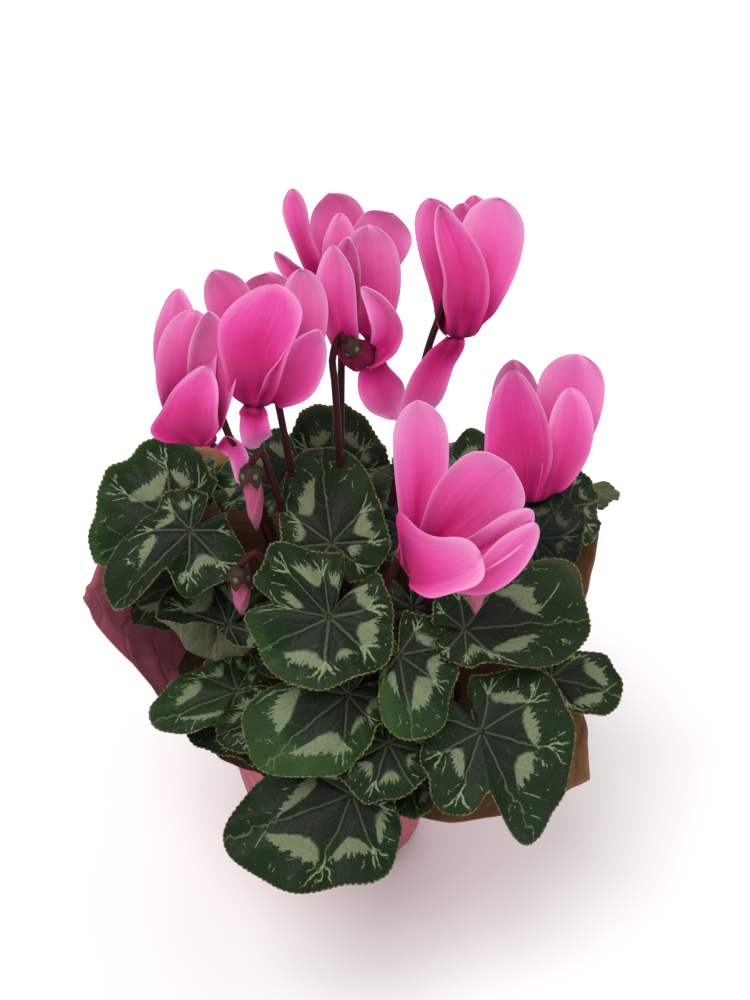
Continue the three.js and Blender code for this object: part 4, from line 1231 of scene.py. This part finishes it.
def make_stem(flower, start, seed, materials):
    down = hanging(flower["opens"])
    calyx = spot(flower["mouth"]) - down * (TUBE_LENGTH + 1)
    form = Form()
    line = crooked_stem(start, calyx, down, flower["crook"], 3)
    radii = STEM_R - 0.3 * smoothstep(np.linspace(0, 1, STEM_POINTS), 0.1, 0.8)
    add_tube(form, line, radii, 14, 0, along_bar(seed))
    add_calyx(form, calyx, down, seed * 1.3, 0.9)
    form.piece("stem_" + flower["name"], materials, "flower_stem_" + flower["name"])


def furled(k, angles):
    """Swelling of a bud's section: five petals rolled one over the next, turning downwards."""
    return 0.93 + 0.16 * (((angles - 2.6 * k) * FIVE / (2 * np.pi)) % 1.0) ** 2


def make_bud(bud, start, seed, materials):
    down = hanging(bud["hangs"])
    calyx = spot(bud["calyx"])
    form = Form()
    line = crooked_stem(start, calyx, down, bud["crook"], 5)
    add_tube(form, line, np.full(STEM_POINTS, BUD_STEM_R), 14, 0, along_bar(seed))
    add_calyx(form, calyx, down, seed * 2.1, 1.0)
    k = np.linspace(0, 1, 34)
    swell = np.interp(k, [0, 0.15, 0.40, 0.75, 0.93, 1], [0.75, 1.0, 1.02, 0.74, 0.34, 0.10])
    line = calyx + np.outer(k * (bud["long"] + 4), down)
    add_tube(form, line, bud["radius"] * swell, 44, 2,
             lambda k, a: (k, math.cos(a), seed + a / 6.3), lobes=furled)
    form.piece("furled_" + bud["name"], materials, bud["name"])


# ---------------------------------------------------------------- wrap
HEM = (-104, -66, 0.30)       # bearings where the hem is turned in, and where it starts
LEAF_CLEAR = 4.0              # how far inside the paper a leaf that leans on it is kept
KNEE = POT_HEIGHT - 6         # height at which the paper leaves the pot and flares
COLUMNS = 420                 # columns of points around the wrap
PLEAT_WIDTH = (7, 17)         # degrees
PLEAT_FOLD = 0.62             # where in a pleat its crest lies
PLEAT_DEPTH = 1.5
CRUMPLE = (2.4, 2.8)          # depth of the soft and of the sharp crumples
CRUMPLE_SCALE = (0.028, 0.055)
RIM_WAVE = 1.6                # how far the rim rises and falls
TOE = 0.12                    # share of the lower part that rounds the foot
POT_CLEAR = 2.0               # gap between the pot's rim band and the paper


def wrap_rim(bearing):
    """Distance out and height of the rim, straight from corner to corner."""
    corners = np.array(WRAP_RIM, float)
    return [np.interp(bearing, corners[:, 0], corners[:, k], period=360) for k in (1, 2)]


def pot_radius(z):
    return POT_FOOT + (POT_MOUTH - POT_FOOT) * (z - POT_FLOOR) / (POT_HEIGHT - POT_FLOOR)


def inside_wrap(p):
    """Pulls points that stand beyond the flared paper in to just inside it."""
    out, up = wrap_rim(np.degrees(np.arctan2(p[..., 0], -p[..., 1])))
    waist = pot_radius(KNEE) + RIM_OUT + POT_CLEAR
    share = np.clip((p[..., 2] - KNEE) / (up - KNEE), 0, 1)
    most = waist + (out - waist) * share - LEAF_CLEAR
    pull = np.minimum(1, most / np.hypot(p[..., 0], p[..., 1]))
    return p * np.stack([pull, pull, np.ones_like(pull)], axis=-1)


def pleat_heights(bearings, rng):
    """Sawtooth of the paper's gathered pleats, 0 to 1, around the pot."""
    starts, depths = [], []
    at = -180.0
    while at < 180:
        starts.append(at)
        depths.append(rng.uniform(0.5, 1.0))
        at += rng.uniform(*PLEAT_WIDTH)
    index = np.searchsorted(starts, bearings, side="right") - 1
    starts = np.array(starts + [180.0])
    local = (bearings - starts[index]) / (starts[index + 1] - starts[index])
    return np.interp(local, [0, PLEAT_FOLD, 1.0], [0, 1.0, 0]) * np.array(depths)[index]


def wrap_profile(bearings, pleat, below, above):
    """(radius, height) points from the foot up to the waist and out to the rim."""
    out, up = [part[:, None] for part in wrap_rim(bearings)]
    knee = np.minimum(KNEE, up - 9)
    waist = np.minimum(pot_radius(KNEE) + RIM_OUT + POT_CLEAR, out - 4)
    pleat = PLEAT_DEPTH * pleat[:, None]
    toe = np.maximum(1 - below / TOE, 0)
    r1 = WRAP_FOOT + (waist - WRAP_FOOT) * below + pleat * np.minimum(1, 0.4 + below) - 4 * toe ** 2
    z1 = (2 * (1 - below) ** 3 + knee * below) * np.minimum(below / TOE, 1) ** 0.8
    far, mid = (1 - above) ** 2, 2 * above * (1 - above)
    r2 = far * waist + mid * ((waist + out) / 2 + 4) + above ** 2 * out + (1 - 0.2 * above) * pleat
    z2 = far * knee + mid * (KNEE + up) / 2 + above ** 2 * up
    return np.concatenate([r1, r2], axis=1), np.concatenate([z1, z2], axis=1)


def crumpled(p, ways, heights):
    """Crumples across the paper, none at the foot."""
    soft = fuzz(p[..., 0], p[..., 1], p[..., 2], CRUMPLE_SCALE[0])
    sharp = np.abs(fuzz(p[..., 0], p[..., 1], p[..., 2] + 70, CRUMPLE_SCALE[1])) - 0.25
    weight = smoothstep(heights, 0.15, 1.1)
    p = p + ways * (weight * (CRUMPLE[0] * soft + CRUMPLE[1] * sharp))[..., None]
    p[..., 2] += smoothstep(heights, 1.2, 2.0) * RIM_WAVE * soft
    return p


def turn_hem(form, bearings, heights):
    """Shows the pink on the hem's inside; a column is m - 1 pairs of faces and two edges."""
    m = len(heights)
    for i in np.nonzero((bearings > HEM[0]) & (bearings < HEM[1]))[0]:
        for j in np.nonzero(heights[1:] > 1 + HEM[2])[0]:
            form.mats[i * 2 * m + 2 * j + 1] = 0


def make_wrap(materials):
    """The paper: pink outside, kraft inside, and a hem of the pink turned in at the left."""
    bearings = np.arange(COLUMNS) * 360.0 / COLUMNS - 180
    below, above = np.linspace(0, 1, 16), np.linspace(0, 1, 29)[1:]
    heights = np.concatenate([below, 1 + above])
    r, z = wrap_profile(bearings, pleat_heights(bearings, np.random.RandomState(11)), below, above)
    ways = np.array([heading(b) for b in bearings])[:, None, :]
    p = crumpled(ways * r[..., None] + z[..., None] * UP, ways, heights)
    lengths = np.linalg.norm(np.diff(p, axis=1), axis=2)
    run = np.concatenate([np.zeros((len(p), 1)), np.cumsum(lengths, axis=1)], axis=1)
    form = Form()
    data = {"sheet": stacked(r.shape, np.radians(bearings)[:, None] * 100, run, 3.0),
            "depth": stacked(r.shape, run[:, -1:] - run, 0, 0)}
    add_sheet(form, p, PAPER, (0, 1, 0), data, closed=True)
    turn_hem(form, bearings, heights)
    foot_r = WRAP_FOOT - 3.5
    add_turned(form, [(0, 0), (foot_r / 2, 0), (foot_r, 0), (foot_r, PAPER), (foot_r / 2, PAPER),
                      (0, PAPER)], 72)
    form.piece("paper_wrap", materials, "wrap")


# ---------------------------------------------------------------- soil and tuber
SOIL_DIP = 1.6                # how far the soil's lumps lie below its top
SOIL_CLEAR = 0.8              # gap between the soil and the pot's wall
CRUMBS = 150
CRUMB_SIZE = (0.7, 1.9)
TUBER_TOP = 0.97              # its flattened crown, as a share of its half height


def make_soil(material):
    """A lumpy, slightly sunken top over straight sides, with loose crumbs."""
    low = node_box("soil")[0][2]
    rings, around = 25, 96
    a = circle(around)
    edge = pot_radius(SOIL_TOP - 3) - POT_WALL - SOIL_CLEAR
    foot_r = pot_radius(low) - POT_WALL - SOIL_CLEAR
    rr = np.linspace(0.0, 1, rings + 1)[1:] * edge
    x, y = np.outer(np.cos(a), rr), np.outer(np.sin(a), rr)
    lump = fuzz(x, y, 0 * x + 3, 0.16) * 1.5 + fuzz(x, y, 0 * x + 9, 0.45) * 0.9
    z = SOIL_TOP - SOIL_DIP + lump - 1.2 * (rr / edge) ** 6
    rim = np.stack([foot_r * np.cos(a), foot_r * np.sin(a), 0 * a + low], axis=1)
    top = np.stack([x, y, z], axis=2).reshape(-1, 3)
    centre = len(top)
    faces = []
    for i in range(around):
        q = (i + 1) % around
        here, there, down = i * rings, q * rings, centre + 1
        faces += [[here + j, here + j + 1, there + j + 1, there + j] for j in range(rings - 1)]
        faces.append([centre, here, there])
        faces.append([here + rings - 1, down + i, down + q, there + rings - 1])
        faces.append([down + i, down + around, down + q])
    form = Form()
    form.add(np.vstack([top, [0, 0, SOIL_TOP - SOIL_DIP], rim, [0, 0, low]]), faces, 0)
    crumbs = np.random.RandomState(5)
    for _ in range(CRUMBS):
        r, t = edge * math.sqrt(crumbs.uniform(0.25, 0.93)), crumbs.uniform(0, 2 * math.pi)
        size = crumbs.uniform(*CRUMB_SIZE)
        profile = [(0, -size), (size * 0.8, -size * 0.4), (size, size * 0.2), (0, size * 0.8)]
        add_turned(form, profile, 5, axis=(crumbs.uniform(-1, 1), crumbs.uniform(-1, 1), 1),
                   at=(r * math.cos(t), r * math.sin(t), SOIL_TOP - 0.6))
    form.piece("peat_soil", [material], "soil")


def make_tuber(material):
    """A flattened corm, softly swollen and finely rough."""
    levels, rings = 30, []
    for b in np.linspace(-math.pi / 2, math.pi / 2, levels + 1)[1:-1]:
        ring = []
        for a in circle(72):
            d = Vector((math.cos(a) * math.cos(b), math.sin(a) * math.cos(b), math.sin(b)))
            swell = 0.975 + 0.020 * noise.noise(d * 2.2) + 0.018 * noise.noise(d * 7.0)
            ring.append((TUBER_RADIUS * swell * d.x, TUBER_RADIUS * swell * d.y,
                         TUBER_Z + TUBER_HALF * swell * d.z))
        rings.append(ring)
    form = Form()
    add_rings(form, np.array(rings), (0, 0, TUBER_Z - TUBER_HALF),
              (0, 0, TUBER_Z + TUBER_HALF * TUBER_TOP), 0)
    form.piece("corky_tuber", [material], "tuber")


# ---------------------------------------------------------------- assembly
FLOWER_RING = 9               # how far from the tuber's middle the stalks start
BUD_RING = 13
LEAF_RING = 25
HIGH_RING = 18                # of leaves whose blades are above HIGH_LEAF
HIGH_LEAF = 190


def leaf_ring(leaf):
    return leaf.more.get("foot", HIGH_RING if leaf.at[2] > HIGH_LEAF else LEAF_RING)


leaf_skins = [leaf_top(), leaf_under(), stalk_material("petiole", "#30181a", "#4a2c24")]
stem_skins = [stalk_material("flower_stalk", "#28070c", "#3c1318"), calyx_material()]
petal_skin = petal_material()
bud_skin = bud_material()
leaves = [Leaf(row) for row in LEAVES]
flower_starts = [foot(spot(flower["mouth"]), FLOWER_RING) for flower in FLOWERS]
bud_starts = [foot(spot(bud["calyx"]), BUD_RING) for bud in BUDS]
leaf_starts = [foot(leaf.at, leaf_ring(leaf)) for leaf in leaves]

for k, (flower, start) in enumerate(zip(FLOWERS, flower_starts)):
    make_stem(flower, start, 1.0 + k, stem_skins)
    make_corolla(flower, 3 + k, petal_skin)
for k, (bud, start) in enumerate(zip(BUDS, bud_starts)):
    make_bud(bud, start, 1.5 + k, stem_skins + [bud_skin])
for k, (leaf, start) in enumerate(zip(leaves, leaf_starts)):
    make_leaf(leaf, start, 20 + k, leaf_skins)
make_wrap([paper_material("pink_paper", "#9c4456", "#b05568", "#c07485", 0.0, 0.0),
           paper_material("kraft_paper", "#7a5339", "#946646", "#ad815e", 0.25, 0.75)])
make_soil(soil_material())
make_tuber(tuber_material())
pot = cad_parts["pot"]
pot.data.materials.clear()
pot.data.materials.append(pot_material())


# ---------------------------------------------------------------- studio
FLOOR_HALF = 6.0
FLOOR_Z = -0.0005
MIDDLE = (0.01, -0.01, 0.18)  # of the plant, where the lights aim
PITCH_DOWN = 36


def add_object(name, data):
    made = bpy.data.objects.new(name, data)
    bpy.context.collection.objects.link(made)
    return made


def add_light(name, kind, at, power):
    light = bpy.data.lights.new(name, kind)
    light.energy = power
    lamp = add_object(name, light)
    lamp.location = at
    lamp.rotation_euler = (Vector(MIDDLE) - Vector(at)).to_track_quat("-Z", "Y").to_euler()
    return light


def soft_sun(name, at, spread, strength):
    add_light(name, "SUN", at, strength).angle = math.radians(spread)


def area_light(name, at, size, power):
    light = add_light(name, "AREA", at, power)
    light.shape = "DISK"
    light.size = size


def make_floor(material):
    mesh = bpy.data.meshes.new("studio_floor")
    turns = ((-1, -1), (1, -1), (1, 1), (-1, 1))
    corners = [(x * FLOOR_HALF, y * FLOOR_HALF, FLOOR_Z) for x, y in turns]
    mesh.from_pydata(corners, [], [(0, 1, 2, 3)])
    mesh.materials.append(material)
    add_object("studio_floor", mesh)


def make_world(strength):
    world = bpy.data.worlds.new("studio")
    bpy.context.scene.world = world
    world.use_nodes = True
    background = world.node_tree.nodes["Background"]
    background.inputs["Color"].default_value = (1, 1, 1, 1)
    background.inputs["Strength"].default_value = strength


def make_camera():
    lens = bpy.data.cameras.new("camera")
    lens.sensor_fit = "VERTICAL"
    lens.sensor_height = 36
    lens.lens = 51.84
    camera = add_object("camera", lens)
    camera.location = (0.020, -0.561, 0.628)
    camera.rotation_euler = (math.radians(90 - PITCH_DOWN), 0, 0)
    bpy.context.scene.camera = camera


make_floor(floor_material())
soft_sun("key", (-0.5, -0.5, 1.7), 42, 1.9)
area_light("fill", (1.1, -0.8, 0.9), 1.2, 5)
area_light("back", (0.3, 1.2, 1.2), 1.0, 6)
make_world(0.5)
bpy.context.scene.view_settings.view_transform = "Standard"
make_camera()
